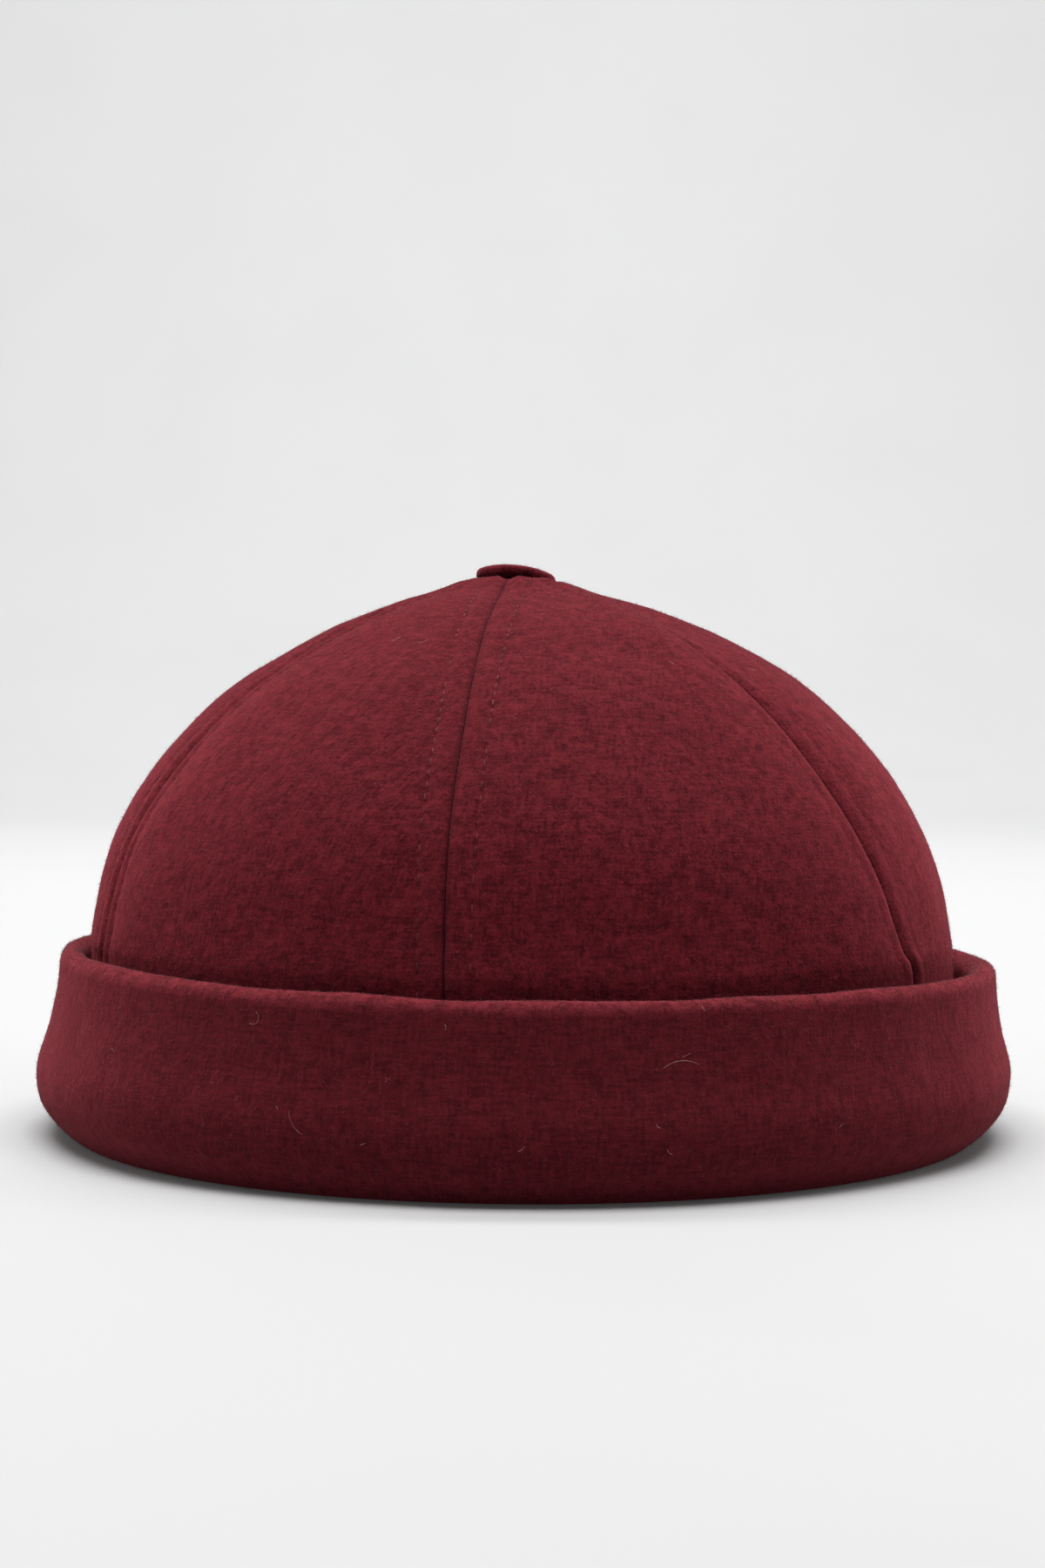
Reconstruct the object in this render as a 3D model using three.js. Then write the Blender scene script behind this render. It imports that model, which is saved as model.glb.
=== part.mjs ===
// A brimless six-panel cap of wool felt: sewn crown panels, a turned-up cuff and a covered button.
// Millimetres, +Z up. The cap rests on its cuff at z = 0, centred on the Z axis, its front towards -Y.
import * as THREE from 'three';

// The cloth, and the gap kept between two pieces
const FELT_THICKNESS = 2.0;
const CLEARANCE = 0.3;

// The crown: outer radius at the cuff, and height of its highest ring above the table
const CROWN_RADIUS = 93.5;
const CROWN_HEIGHT = 118.5;
const FRONT_TO_BACK = 1.02;
const TOP_TILT_DEG = 3.0;
const FACET_DEPTH = 0.5;

// The panels and their pressed-open, topstitched seams
const PANEL_COUNT = 6;
const FRONT_SEAM_DEG = -9.0;
const STITCH_OFFSET = 5.2;
const STITCH_DENT_DEPTH = 0.35;
const SEAM_GROOVE_DEPTH = 0.9;
const SEAM_GROOVE_WIDTH = 1.2;
const SEAM_BAND_HEIGHT = 0.45;
const PANEL_PUFF_DEPTH = 1.2;
const PANEL_PUFF_WIDTH = 9.0;
const APEX_HOLE_RADIUS = 2.8;

// The cuff: its height, the gap behind its lip, the roll of its fold and how far it swells below the lip
const CUFF_HEIGHT = 38.0;
const LIP_GAP = 2.0;
const FOLD_ROLL_WIDTH = 1.6;
const CUFF_SWELL_DEPTH = 4.1;
const CUFF_LEAN_OFFSET = 1.0;
const LIP_WAVE_HEIGHT = 1.2;
const HEM_HEIGHT = 7.5;
const FACING_HEIGHT = 12.0;
const FACING_GAP = 0.8;
const FACING_ROLL_RADIUS = 1.5;

// The covered button on the apex, and the shank that holds it
const BUTTON_RADIUS = 8.4;
const BUTTON_THICKNESS = 4.2;
const BUTTON_EDGE_RADIUS = 1.5;
const BUTTON_EDGE_ARC_DEG = 144;
const BUTTON_TILT_DEG = 2.0;
const SHANK_CLEARANCE = 0.8;
const SHANK_LENGTH_BELOW = 1.0;

// The crown's outer face from its foot to the hole under the button. rise is a share of the height
// above the foot; radius and lean are shares of CROWN_RADIUS; facet, tilt and puff are shares of
// FACET_DEPTH, TOP_TILT_DEG and PANEL_PUFF_DEPTH; steps is how many strips reach the next row.
const CROWN_ROWS = [
  { rise: 0.0, radius: 1.0, lean: 0.0, facet: 0.0, tilt: 0.0, puff: 0.0, steps: 1 },
  { rise: 0.287, radius: 0.998, lean: 0.0, facet: 0.5, tilt: 0.0, puff: 0.1, steps: 1 },
  { rise: 0.356, radius: 0.994, lean: 0.0, facet: 1.0, tilt: 0.0, puff: 0.4, steps: 2 },
  { rise: 0.483, radius: 0.959, lean: 0.0, facet: 1.0, tilt: 0.0, puff: 0.8, steps: 2 },
  { rise: 0.601, radius: 0.891, lean: 0.0, facet: 1.0, tilt: 0.0, puff: 1.0, steps: 2 },
  { rise: 0.711, radius: 0.788, lean: -0.001, facet: 1.0, tilt: 0.0, puff: 1.0, steps: 2 },
  { rise: 0.812, radius: 0.651, lean: -0.006, facet: 1.0, tilt: 0.0, puff: 1.0, steps: 1 },
  { rise: 0.889, radius: 0.49, lean: -0.014, facet: 0.8, tilt: 0.0, puff: 0.9, steps: 1 },
  { rise: 0.945, radius: 0.329, lean: -0.019, facet: 0.6, tilt: 0.05, puff: 0.7, steps: 1 },
  { rise: 0.981, radius: 0.195, lean: -0.021, facet: 0.4, tilt: 0.15, puff: 0.5, steps: 1 },
  { rise: 1.0, radius: 0.122, lean: -0.0215, facet: 0.2, tilt: 0.4, puff: 0.3, steps: 1 },
  { rise: 0.992, radius: 0.08, lean: -0.0215, facet: 0.0, tilt: 1.0, puff: 0.0, steps: 1 },
  { rise: 0.983, radius: 0.03, lean: -0.0215, facet: 0.0, tilt: 1.0, puff: 0.0, steps: 0 },
];

// How each seam strays from its even place, in degrees, from the front seam on: the turn of its foot,
// which fades towards the apex, and its bow between the cuff and the apex
const SEAM_LINES = [
  { seam: 'front', foot_turn_deg: 0.0, bow_deg: -0.5 },
  { seam: 'right_front', foot_turn_deg: 6.9, bow_deg: -7.5 },
  { seam: 'right_back', foot_turn_deg: 0.0, bow_deg: 0.0 },
  { seam: 'back', foot_turn_deg: 0.0, bow_deg: 0.0 },
  { seam: 'left_back', foot_turn_deg: 0.0, bow_deg: 0.0 },
  { seam: 'left_front', foot_turn_deg: 0.0, bow_deg: 2.3 },
];

// The cuff's outer face. height is a share of CUFF_HEIGHT; swell is a share of CUFF_SWELL_DEPTH, from the
// outer face under the lip.
const CUFF_ROWS = [
  { height: 0.0, swell: -1.3 },
  { height: 0.02, swell: -0.85 },
  { height: 0.09, swell: -0.02 },
  { height: 0.19, swell: 0.7 },
  { height: 0.3, swell: 0.97 },
  { height: 0.42, swell: 0.97 },
  { height: 0.6, swell: 0.51 },
  { height: 0.78, swell: 0.17 },
  { height: 0.91, swell: 0.0 },
];

// Slow waves along the cuff's lip: turns round the head, height as a share of LIP_WAVE_HEIGHT, and start
const LIP_WAVES = [
  { turns: 1, height: 0.96, phase_deg: 180 },
  { turns: 2, height: 0.38, phase_deg: 270 },
  { turns: 3, height: 0.35, phase_deg: 0 },
];

// Points across half a panel, as shares of STITCH_OFFSET from the seam; the seam's own edge comes first
const SEAM_COLUMNS = [0.27, 0.6, 1.0, 1.55];
const PANEL_MIDDLE_COLUMNS = 5;
const SEAM_WIDEST_SHARE = 0.4;
const CUFF_SEGMENTS = 64;
const SHARPEST_MITRE = 0.8;
const FOLD_POINTS = 4;
const HEM_POINTS = 2;
const BUTTON_SEGMENTS = 24;
const BUTTON_EDGE_POINTS = 4;
const BUTTON_DOME_POINTS = 4;
const SEARCH_STEPS = 40;

const radians = THREE.MathUtils.degToRad;
const CROWN_FOOT = FELT_THICKNESS + CLEARANCE;
const SEAM_STEP = (2 * Math.PI) / PANEL_COUNT;
const LAST_CROWN_ROW = CROWN_ROWS.length - 1;
const LAST_CUFF_ROW = CUFF_ROWS.length - 1;
const BUTTON_FLAT = BUTTON_RADIUS - BUTTON_EDGE_RADIUS / 2;
const FELT_RED = new THREE.Color(0x6b2230);

/** Value of a table's column at position t, counted in rows, on a smooth curve through the rows. */
function readRows(rows, column, t) {
  const last = rows.length - 1;
  const i = Math.min(Math.floor(t), last - 1);
  const f = t - i;
  const b = rows[i][column];
  const c = rows[i + 1][column];
  const a = i > 0 ? rows[i - 1][column] : 2 * b - c;
  const d = i + 2 <= last ? rows[i + 2][column] : 2 * c - b;
  const slope = c - a;
  const bend = 2 * a - 5 * b + 4 * c - d;
  const twist = 3 * b - a - 3 * c + d;
  return 0.5 * (2 * b + slope * f + bend * f * f + twist * f * f * f);
}

/** The crown's sizes at position t of its table, in millimetres; slope is its sideways fall. */
function crownRow(t) {
  const towardsHole = THREE.MathUtils.clamp(t - (LAST_CROWN_ROW - 1), 0, 1);
  const profileRadius = readRows(CROWN_ROWS, 'radius', t) * CROWN_RADIUS;
  const lastRadius = CROWN_ROWS[LAST_CROWN_ROW].radius * CROWN_RADIUS;
  return {
    z: CROWN_FOOT + readRows(CROWN_ROWS, 'rise', t) * (CROWN_HEIGHT - CROWN_FOOT),
    radius: profileRadius + towardsHole * (APEX_HOLE_RADIUS - lastRadius),
    lean: readRows(CROWN_ROWS, 'lean', t) * CROWN_RADIUS,
    facet: readRows(CROWN_ROWS, 'facet', t) * FACET_DEPTH,
    puff: readRows(CROWN_ROWS, 'puff', t) * PANEL_PUFF_DEPTH,
    slope: readRows(CROWN_ROWS, 'tilt', t) * Math.tan(radians(TOP_TILT_DEG)),
  };
}

/** Azimuth of a seam at position t; 0 is the front, and it grows towards +X. */
function seamAzimuth(index, t) {
  const { foot_turn_deg, bow_deg } = SEAM_LINES[(index % PANEL_COUNT) % SEAM_LINES.length];
  const along = THREE.MathUtils.clamp((t - 1) / (LAST_CROWN_ROW - 1), 0, 1);
  const stray = foot_turn_deg * (1 - along) + bow_deg * Math.sin(Math.PI * along);
  return radians(FRONT_SEAM_DEG + stray) + index * SEAM_STEP;
}

/** A point of the crown's smooth outer face, without its seams. */
function crownPoint(t, azimuth) {
  const row = crownRow(t);
  const ripple = Math.cos(PANEL_COUNT * (azimuth - radians(FRONT_SEAM_DEG)));
  const radius = row.radius + row.facet * ripple;
  const x = radius * Math.sin(azimuth);
  const y = -radius * Math.cos(azimuth) * FRONT_TO_BACK;
  return new THREE.Vector3(x + row.lean, y, row.z - row.slope * x);
}

/** Unit vectors of the crown's smooth face at a point: out of the cloth, and along the section. */
function crownDirections(t, azimuth) {
  const reach = 0.02;
  const up = crownPoint(Math.min(t + reach, LAST_CROWN_ROW), azimuth);
  up.sub(crownPoint(Math.max(t - reach, 0), azimuth));
  const along = crownPoint(t, azimuth + reach).sub(crownPoint(t, azimuth - reach)).normalize();
  const out = new THREE.Vector3().crossVectors(along, up).normalize();
  return { out, along };
}

/** Height of the seam's relief at a distance from the seam line. */
function seamRelief(distance, row) {
  const bell = (offset, width) => Math.exp(-(((distance - offset) / width) ** 2));
  const groove = -SEAM_GROOVE_DEPTH * bell(0, SEAM_GROOVE_WIDTH);
  const band = SEAM_BAND_HEIGHT * bell(STITCH_OFFSET / 2, STITCH_OFFSET / 2);
  const dent = -STITCH_DENT_DEPTH * bell(STITCH_OFFSET, SEAM_GROOVE_WIDTH);
  return groove + band + dent - row.puff * bell(0, PANEL_PUFF_WIDTH);
}

/** Positions in the crown's table at which the faceted panels have a row of points. */
function panelRows() {
  const positions = [];
  CROWN_ROWS.forEach((row, index) => {
    for (let step = 0; step < row.steps; step += 1) positions.push(index + step / row.steps);
  });
  positions.push(LAST_CROWN_ROW);
  return positions;
}

/** Distances of a panel's points from its first seam, where the panel is as wide as given. */
function panelColumns(width) {
  const widest = SEAM_COLUMNS[SEAM_COLUMNS.length - 1] * STITCH_OFFSET;
  const squeeze = Math.min(1, (SEAM_WIDEST_SHARE * width) / widest);
  const side = SEAM_COLUMNS.map((share) => share * STITCH_OFFSET * squeeze);
  const inner = [];
  for (let i = 1; i <= PANEL_MIDDLE_COLUMNS; i += 1) {
    const f = i / (PANEL_MIDDLE_COLUMNS + 1);
    inner.push(THREE.MathUtils.lerp(widest * squeeze, width - widest * squeeze, f));
  }
  const far = side.slice().reverse().map((distance) => width - distance);
  return { squeeze, distances: [...side, ...inner, ...far] };
}

/** One crown panel between two seams, as outer and inner grids of points. */
function crownPanel(index) {
  const outer = [];
  const inner = [];
  for (const t of panelRows()) {
    const row = crownRow(t);
    const start = seamAzimuth(index, t);
    const end = seamAzimuth(index + 1, t);
    const width = row.radius * (end - start);
    const { squeeze, distances } = panelColumns(width);
    const outerRow = [];
    const innerRow = [];
    const place = (point, out, distance) => {
      const relief = seamRelief(distance, row) * squeeze;
      outerRow.push(point.clone().addScaledVector(out, relief));
      innerRow.push(point.clone().addScaledVector(out, -FELT_THICKNESS));
    };
    const edge = (azimuth, side) => {
      const { out, along } = crownDirections(t, azimuth);
      const point = crownPoint(t, azimuth).addScaledVector(along, (side * CLEARANCE) / 2);
      place(point, out, CLEARANCE / 2);
    };
    edge(start, 1);
    for (const distance of distances) {
      const azimuth = start + ((end - start) * distance) / width;
      place(crownPoint(t, azimuth), crownDirections(t, azimuth).out, Math.min(distance, width - distance));
    }
    edge(end, -1);
    outer.push(outerRow);
    inner.push(innerRow);
  }
  return shellGeometry(outer, inner, false);
}

/** Middle line of the cuff's strip of cloth in section: from the facing, round the foot and over the lip. */
function cuffPath() {
  const lipInner = CROWN_RADIUS + LIP_GAP;
  const foldRadius = (FELT_THICKNESS + FOLD_ROLL_WIDTH) / 2;
  const lipOuter = lipInner + 2 * FELT_THICKNESS + FOLD_ROLL_WIDTH;
  const face = (t) => new THREE.Vector2(
    lipOuter + readRows(CUFF_ROWS, 'swell', t) * CUFF_SWELL_DEPTH,
    readRows(CUFF_ROWS, 'height', t) * CUFF_HEIGHT,
  );
  const facing = CROWN_RADIUS - FELT_THICKNESS - FACING_GAP - FELT_THICKNESS / 2;
  const rollBulge = FACING_ROLL_RADIUS * (1 - Math.SQRT1_2);
  const points = [
    new THREE.Vector2(facing, FACING_HEIGHT),
    new THREE.Vector2(facing, FELT_THICKNESS / 2 + FACING_ROLL_RADIUS),
    new THREE.Vector2(facing + rollBulge, FELT_THICKNESS / 2 + rollBulge),
    new THREE.Vector2(facing + FACING_ROLL_RADIUS, FELT_THICKNESS / 2),
    new THREE.Vector2(face(0).x, FELT_THICKNESS / 2),
  ];
  const reach = 0.05;
  for (let row = 1; row <= LAST_CUFF_ROW; row += 1) {
    const along = face(Math.min(row + reach, LAST_CUFF_ROW)).sub(face(row - reach)).normalize();
    const inward = new THREE.Vector2(-along.y, along.x);
    const point = face(row).addScaledVector(inward, FELT_THICKNESS / 2);
    point.y = Math.max(point.y, FELT_THICKNESS / 2);
    points.push(point);
  }
  const top = CUFF_HEIGHT - FELT_THICKNESS / 2 - foldRadius;
  const foldCentre = lipOuter - FELT_THICKNESS / 2 - foldRadius;
  for (let i = 1; i <= FOLD_POINTS; i += 1) {
    const angle = (Math.PI * i) / FOLD_POINTS;
    const x = foldCentre + foldRadius * Math.cos(angle);
    points.push(new THREE.Vector2(x, top + foldRadius * Math.sin(angle)));
  }
  for (let i = 1; i <= HEM_POINTS; i += 1) {
    const z = THREE.MathUtils.lerp(top, HEM_HEIGHT, i / HEM_POINTS);
    points.push(new THREE.Vector2(wallRadiusAt(face, z) - FELT_THICKNESS / 2 - 2 * foldRadius, z));
  }
  return points;
}

/** Radius of the cuff's outer face at a height. */
function wallRadiusAt(face, z) {
  let nearest = face(0);
  for (let i = 1; i <= SEARCH_STEPS * LAST_CUFF_ROW; i += 1) {
    const candidate = face(i / SEARCH_STEPS);
    if (Math.abs(candidate.y - z) < Math.abs(nearest.y - z)) nearest = candidate;
  }
  return nearest.x;
}

/** The cuff: one strip of felt carried round the head, doubled over at its lip. */
function cuff() {
  const path = cuffPath();
  const left = [];
  const right = [];
  path.forEach((point, i) => {
    const before = path[Math.max(i - 1, 0)];
    const after = path[Math.min(i + 1, path.length - 1)];
    const into = point.clone().sub(before).normalize();
    const onwards = after.clone().sub(point).normalize();
    const along = into.add(onwards).normalize();
    const across = new THREE.Vector2(-along.y, along.x);
    const bend = i > 0 ? across.dot(perpendicular(before, point)) : 1;
    const half = FELT_THICKNESS / 2 / Math.max(bend, SHARPEST_MITRE);
    left.push(point.clone().addScaledVector(across, half));
    right.push(point.clone().addScaledVector(across, -half));
  });
  return shellGeometry(left.map(cuffRing), right.map(cuffRing), true);
}

/** Unit vector at right angles to the way from one section point to the next. */
function perpendicular(from, to) {
  const way = to.clone().sub(from).normalize();
  return new THREE.Vector2(-way.y, way.x);
}

/** One point of the cuff's section carried round the head, with its lean and its waves. */
function cuffRing(point) {
  const ring = [];
  const share = THREE.MathUtils.clamp((point.y - FACING_HEIGHT) / (CUFF_HEIGHT - FACING_HEIGHT), 0, 1);
  for (let i = 0; i < CUFF_SEGMENTS; i += 1) {
    const azimuth = (2 * Math.PI * i) / CUFF_SEGMENTS;
    const wave = LIP_WAVES.reduce(
      (sum, { turns, height, phase_deg }) => sum + height * Math.sin(turns * azimuth + radians(phase_deg)),
      0,
    ) * LIP_WAVE_HEIGHT;
    const x = point.x * Math.sin(azimuth) + CUFF_LEAN_OFFSET * share;
    const y = -point.x * Math.cos(azimuth) * FRONT_TO_BACK;
    ring.push(new THREE.Vector3(x, y, point.y + wave * share));
  }
  return ring;
}

/** A closed cloth wall between two grids of points; a wrapped grid closes on itself along its rows. */
function shellGeometry(face, back, wrapped) {
  const rows = face.length;
  const columns = face[0].length;
  const strips = wrapped ? columns : columns - 1;
  const positions = [];
  const triangles = [];
  for (const grid of [face, back]) {
    for (const line of grid) line.forEach((p) => positions.push(p.x, p.y, p.z));
  }
  const at = (grid, row, column) => (grid * rows + row) * columns + (column % columns);
  const quad = (a, b, c, d) => triangles.push(a, b, c, a, c, d);
  for (let row = 0; row < rows - 1; row += 1) {
    for (let column = 0; column < strips; column += 1) {
      quad(at(0, row, column), at(0, row, column + 1), at(0, row + 1, column + 1), at(0, row + 1, column));
      quad(at(1, row, column), at(1, row + 1, column), at(1, row + 1, column + 1), at(1, row, column + 1));
    }
  }
  for (let column = 0; column < strips; column += 1) {
    quad(at(1, 0, column), at(1, 0, column + 1), at(0, 0, column + 1), at(0, 0, column));
    const last = rows - 1;
    quad(at(0, last, column), at(0, last, column + 1), at(1, last, column + 1), at(1, last, column));
  }
  if (!wrapped) {
    for (let row = 0; row < rows - 1; row += 1) {
      quad(at(0, row, 0), at(0, row + 1, 0), at(1, row + 1, 0), at(1, row, 0));
      quad(at(1, row, strips), at(1, row + 1, strips), at(0, row + 1, strips), at(0, row, strips));
    }
  }
  return outwards(positions, triangles);
}

/** A geometry of the triangles, turned so that its faces point out. */
function outwards(positions, triangles) {
  const corner = (i) => new THREE.Vector3().fromArray(positions, 3 * i);
  let volume = 0;
  for (let i = 0; i < triangles.length; i += 3) {
    const [a, b, c] = triangles.slice(i, i + 3).map(corner);
    volume += a.dot(b.cross(c));
  }
  if (volume < 0) {
    for (let i = 0; i < triangles.length; i += 3) {
      [triangles[i + 1], triangles[i + 2]] = [triangles[i + 2], triangles[i + 1]];
    }
  }
  const geometry = new THREE.BufferGeometry();
  geometry.setAttribute('position', new THREE.Float32BufferAttribute(positions, 3));
  geometry.setIndex(triangles);
  geometry.computeVertexNormals();
  return geometry;
}

/** Highest point of the crown's profile within a radius of the apex. */
function seatHeight(radius) {
  let highest = crownRow(LAST_CROWN_ROW).z;
  for (let i = 0; i <= SEARCH_STEPS * LAST_CROWN_ROW; i += 1) {
    const row = crownRow(i / SEARCH_STEPS);
    if (row.radius <= radius) highest = Math.max(highest, row.z);
  }
  return highest;
}

/** The covered button: a domed disc with a rounded edge and a shank, round its own upright axis. */
function button() {
  const shankRadius = APEX_HOLE_RADIUS - SHANK_CLEARANCE;
  const seatAboveHole = seatHeight(BUTTON_FLAT) + CLEARANCE - crownRow(LAST_CROWN_ROW).z;
  const shankLength = seatAboveHole + FELT_THICKNESS + SHANK_LENGTH_BELOW;
  const outline = [
    new THREE.Vector2(0, -shankLength),
    new THREE.Vector2(shankRadius, -shankLength),
    new THREE.Vector2(shankRadius, 0),
    new THREE.Vector2(BUTTON_RADIUS - BUTTON_EDGE_RADIUS, 0),
  ];
  for (let i = 1; i <= BUTTON_EDGE_POINTS; i += 1) {
    const angle = (radians(BUTTON_EDGE_ARC_DEG) * i) / BUTTON_EDGE_POINTS - Math.PI / 2;
    const x = BUTTON_RADIUS - BUTTON_EDGE_RADIUS + BUTTON_EDGE_RADIUS * Math.cos(angle);
    outline.push(new THREE.Vector2(x, BUTTON_EDGE_RADIUS + BUTTON_EDGE_RADIUS * Math.sin(angle)));
  }
  const edge = outline[outline.length - 1].clone();
  for (let i = 1; i < BUTTON_DOME_POINTS; i += 1) {
    const angle = (Math.PI * i) / (2 * BUTTON_DOME_POINTS);
    const z = edge.y + (BUTTON_THICKNESS - edge.y) * Math.sin(angle);
    outline.push(new THREE.Vector2(edge.x * Math.cos(angle), z));
  }
  outline.push(new THREE.Vector2(0, BUTTON_THICKNESS));
  const lathe = new THREE.LatheGeometry(outline, BUTTON_SEGMENTS);
  lathe.rotateX(Math.PI / 2);
  return lathe;
}

/** A named mesh in the cap's wool felt. */
function piece(name, geometry) {
  const material = new THREE.MeshStandardMaterial({ color: FELT_RED, roughness: 0.95, metalness: 0 });
  const mesh = new THREE.Mesh(geometry, material);
  mesh.name = name;
  return mesh;
}

const cap = new THREE.Group();
for (let index = 0; index < PANEL_COUNT; index += 1) {
  cap.add(piece(`crown_panel_${index + 1}`, crownPanel(index)));
}
cap.add(piece('cuff', cuff()));

const crownButton = piece('crown_button', button());
const apex = crownRow(LAST_CROWN_ROW);
const tiltRoom = BUTTON_FLAT * Math.sin(radians(BUTTON_TILT_DEG));
crownButton.position.set(apex.lean, 0, seatHeight(BUTTON_FLAT) + CLEARANCE + tiltRoom);
crownButton.rotation.y = radians(TOP_TILT_DEG + BUTTON_TILT_DEG);
cap.add(crownButton);

export default cap;
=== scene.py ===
"""A brimless six-panel cap of burgundy wool felt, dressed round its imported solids.

Metres, +Z up, the front towards -Y. Each sub-assembly is a class that builds its meshes and dresses
them: the crown's panels with their topstitching, the turned-up cuff, the covered button, the nap of
the cloth and the pale fibres that lie on it. Each finish is a frozen dataclass that makes a material,
and each effect that several finishes share is a class that builds one node group.
"""

from __future__ import annotations

import sys
import logging
import math
from dataclasses import dataclass
from enum import Enum

import bpy
import numpy as np
from mathutils import Matrix, Vector


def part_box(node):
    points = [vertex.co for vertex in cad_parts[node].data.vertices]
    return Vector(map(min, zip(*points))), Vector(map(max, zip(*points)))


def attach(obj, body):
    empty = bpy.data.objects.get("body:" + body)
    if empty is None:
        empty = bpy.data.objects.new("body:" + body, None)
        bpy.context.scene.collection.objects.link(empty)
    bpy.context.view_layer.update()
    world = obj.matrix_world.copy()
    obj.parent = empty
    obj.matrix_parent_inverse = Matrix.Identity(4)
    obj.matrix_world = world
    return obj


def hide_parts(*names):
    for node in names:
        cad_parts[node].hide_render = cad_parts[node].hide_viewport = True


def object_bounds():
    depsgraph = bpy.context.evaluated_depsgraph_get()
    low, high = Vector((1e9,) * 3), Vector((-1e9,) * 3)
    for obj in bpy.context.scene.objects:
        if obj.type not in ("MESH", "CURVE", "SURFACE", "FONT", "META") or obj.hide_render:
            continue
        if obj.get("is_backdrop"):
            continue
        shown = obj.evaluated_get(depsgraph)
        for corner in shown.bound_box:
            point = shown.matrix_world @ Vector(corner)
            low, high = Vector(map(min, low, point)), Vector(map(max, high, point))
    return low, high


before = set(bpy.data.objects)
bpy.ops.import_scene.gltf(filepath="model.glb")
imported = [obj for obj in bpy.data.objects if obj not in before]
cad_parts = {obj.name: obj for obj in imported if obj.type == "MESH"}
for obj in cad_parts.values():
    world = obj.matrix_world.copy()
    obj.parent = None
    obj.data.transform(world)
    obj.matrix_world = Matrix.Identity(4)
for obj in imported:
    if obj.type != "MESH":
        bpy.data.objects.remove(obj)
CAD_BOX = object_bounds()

LOG = logging.getLogger("cap")
MM = 0.001
BODY = "root"
CLOTH_MAP = "cloth"
SEAM_COUNT = 6
COARSE_EVERY = 4
FULL_TURN = 2 * math.pi
TINY = 1e-12
SAME_PLACE = 1e-6
WHITE = (1.0, 1.0, 1.0, 1.0)
HEAD_MIDDLE = (0.0, 0.0, 30 * MM)

Colour = tuple[float, float, float, float]
Place = tuple[float, float, float]


class Seam(Enum):
    """The crown's seams, numbered from the front one towards +X and round the back."""

    FRONT = 0
    RIGHT_FRONT = 1
    RIGHT_BACK = 2
    BACK = 3
    LEFT_BACK = 4
    LEFT_FRONT = 5


class Side(Enum):
    """The side of a seam on which a row of topstitching runs."""

    BEFORE = -1
    AFTER = 1


class PointValue(Enum):
    """Numbers that a mesh stores for each of its points, for the felt's material to read."""

    # painted shade: how much the felt is darkened where shade falls in seam grooves, needle pits, along the
    # cuff's back seam and under the button
    CREASE = "crease"
    # painted highlight: how much the felt is lightened along the cuff's lip, where the light from above
    # falls on the rounded fold
    PAINTED_HIGHLIGHT = "painted_highlight"


def unit(vectors: np.ndarray) -> np.ndarray:
    """Vectors scaled to length one along the last axis."""
    return vectors / np.maximum(np.linalg.norm(vectors, axis=-1, keepdims=True), TINY)


def bell(distance: np.ndarray, centre: float, width: float) -> np.ndarray:
    """A smooth bump of height one round a centre."""
    return np.exp(-(((distance - centre) / width) ** 2))


def smooth_rows(rows: np.ndarray, at: np.ndarray) -> np.ndarray:
    """Reads a table on a smooth curve through its rows.

    Args:
        rows: The table, one row for each section.
        at: Positions counted in rows.

    Returns:
        The table's columns at each position.
    """
    last = len(rows) - 1
    padded = np.vstack([2 * rows[0] - rows[1], rows, 2 * rows[-1] - rows[-2]])
    start = np.clip(np.floor(at).astype(int), 0, last - 1)
    f = (at - start)[..., None]
    a, b, c, d = (padded[start + k] for k in range(4))
    bend = 2 * a - 5 * b + 4 * c - d
    twist = 3 * b - a - 3 * c + d
    return 0.5 * (2 * b + (c - a) * f + bend * f**2 + twist * f**3)


@dataclass(frozen=True)
class Unevenness:
    """Smooth random relief in space, as fulled cloth has it."""

    cell: float
    height: float
    seed: int
    side: int = 48

    def at(self, points: np.ndarray) -> np.ndarray:
        """Reads the relief.

        Args:
            points: Places, in metres.

        Returns:
            Height of the relief at each place, in metres.
        """
        table = np.random.default_rng(self.seed).uniform(-1, 1, (self.side,) * 3)
        scaled = points / self.cell
        base = np.floor(scaled).astype(int)
        f = scaled - base
        f = f * f * (3 - 2 * f)
        total = np.zeros(points.shape[:-1])
        for corner in np.ndindex(2, 2, 2):
            weight = np.prod(np.where(np.array(corner) == 1, f, 1 - f), axis=-1)
            i = (base + corner) % self.side
            total += weight * table[i[..., 0], i[..., 1], i[..., 2]]
        return total * self.height


@dataclass(frozen=True)
class SoftDent:
    """A soft dent or bulge of the cloth, placed by azimuth and height; a positive depth bulges out."""

    azimuth_deg: float
    height: float
    spread_deg: float
    spread_height: float
    depth: float

    def at(self, azimuth: np.ndarray, height: np.ndarray) -> np.ndarray:
        """Reads the dent.

        Args:
            azimuth: Azimuths of places on the cloth, in radians.
            height: Their heights.

        Returns:
            How far the cloth stands out there, in metres.
        """
        turn = np.degrees(azimuth) - self.azimuth_deg
        turn = (turn + 180) % 360 - 180
        return self.depth * bell(turn, 0, self.spread_deg) * bell(height, self.height, self.spread_height)


CLOTH_WAVES = (
    Unevenness(cell=34 * MM, height=0.55 * MM, seed=11),
    Unevenness(cell=13 * MM, height=0.25 * MM, seed=12),
    Unevenness(cell=4.5 * MM, height=0.09 * MM, seed=13),
)


def cloth_relief(points: np.ndarray) -> np.ndarray:
    """The felt's own unevenness at each point, in metres."""
    return sum(wave.at(points) for wave in CLOTH_WAVES)


def place_mesh(name: str, mesh: bpy.types.Mesh, finish: bpy.types.Material) -> bpy.types.Object:
    """Puts a mesh into the scene, smooth and with its finish.

    Args:
        name: The new object's name.
        mesh: Its mesh.
        finish: Its material.

    Returns:
        The object.
    """
    mesh.polygons.foreach_set("use_smooth", [True] * len(mesh.polygons))
    mesh.materials.append(finish)
    mesh.update()
    placed = bpy.data.objects.new(name, mesh)
    bpy.context.scene.collection.objects.link(placed)
    return placed


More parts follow.
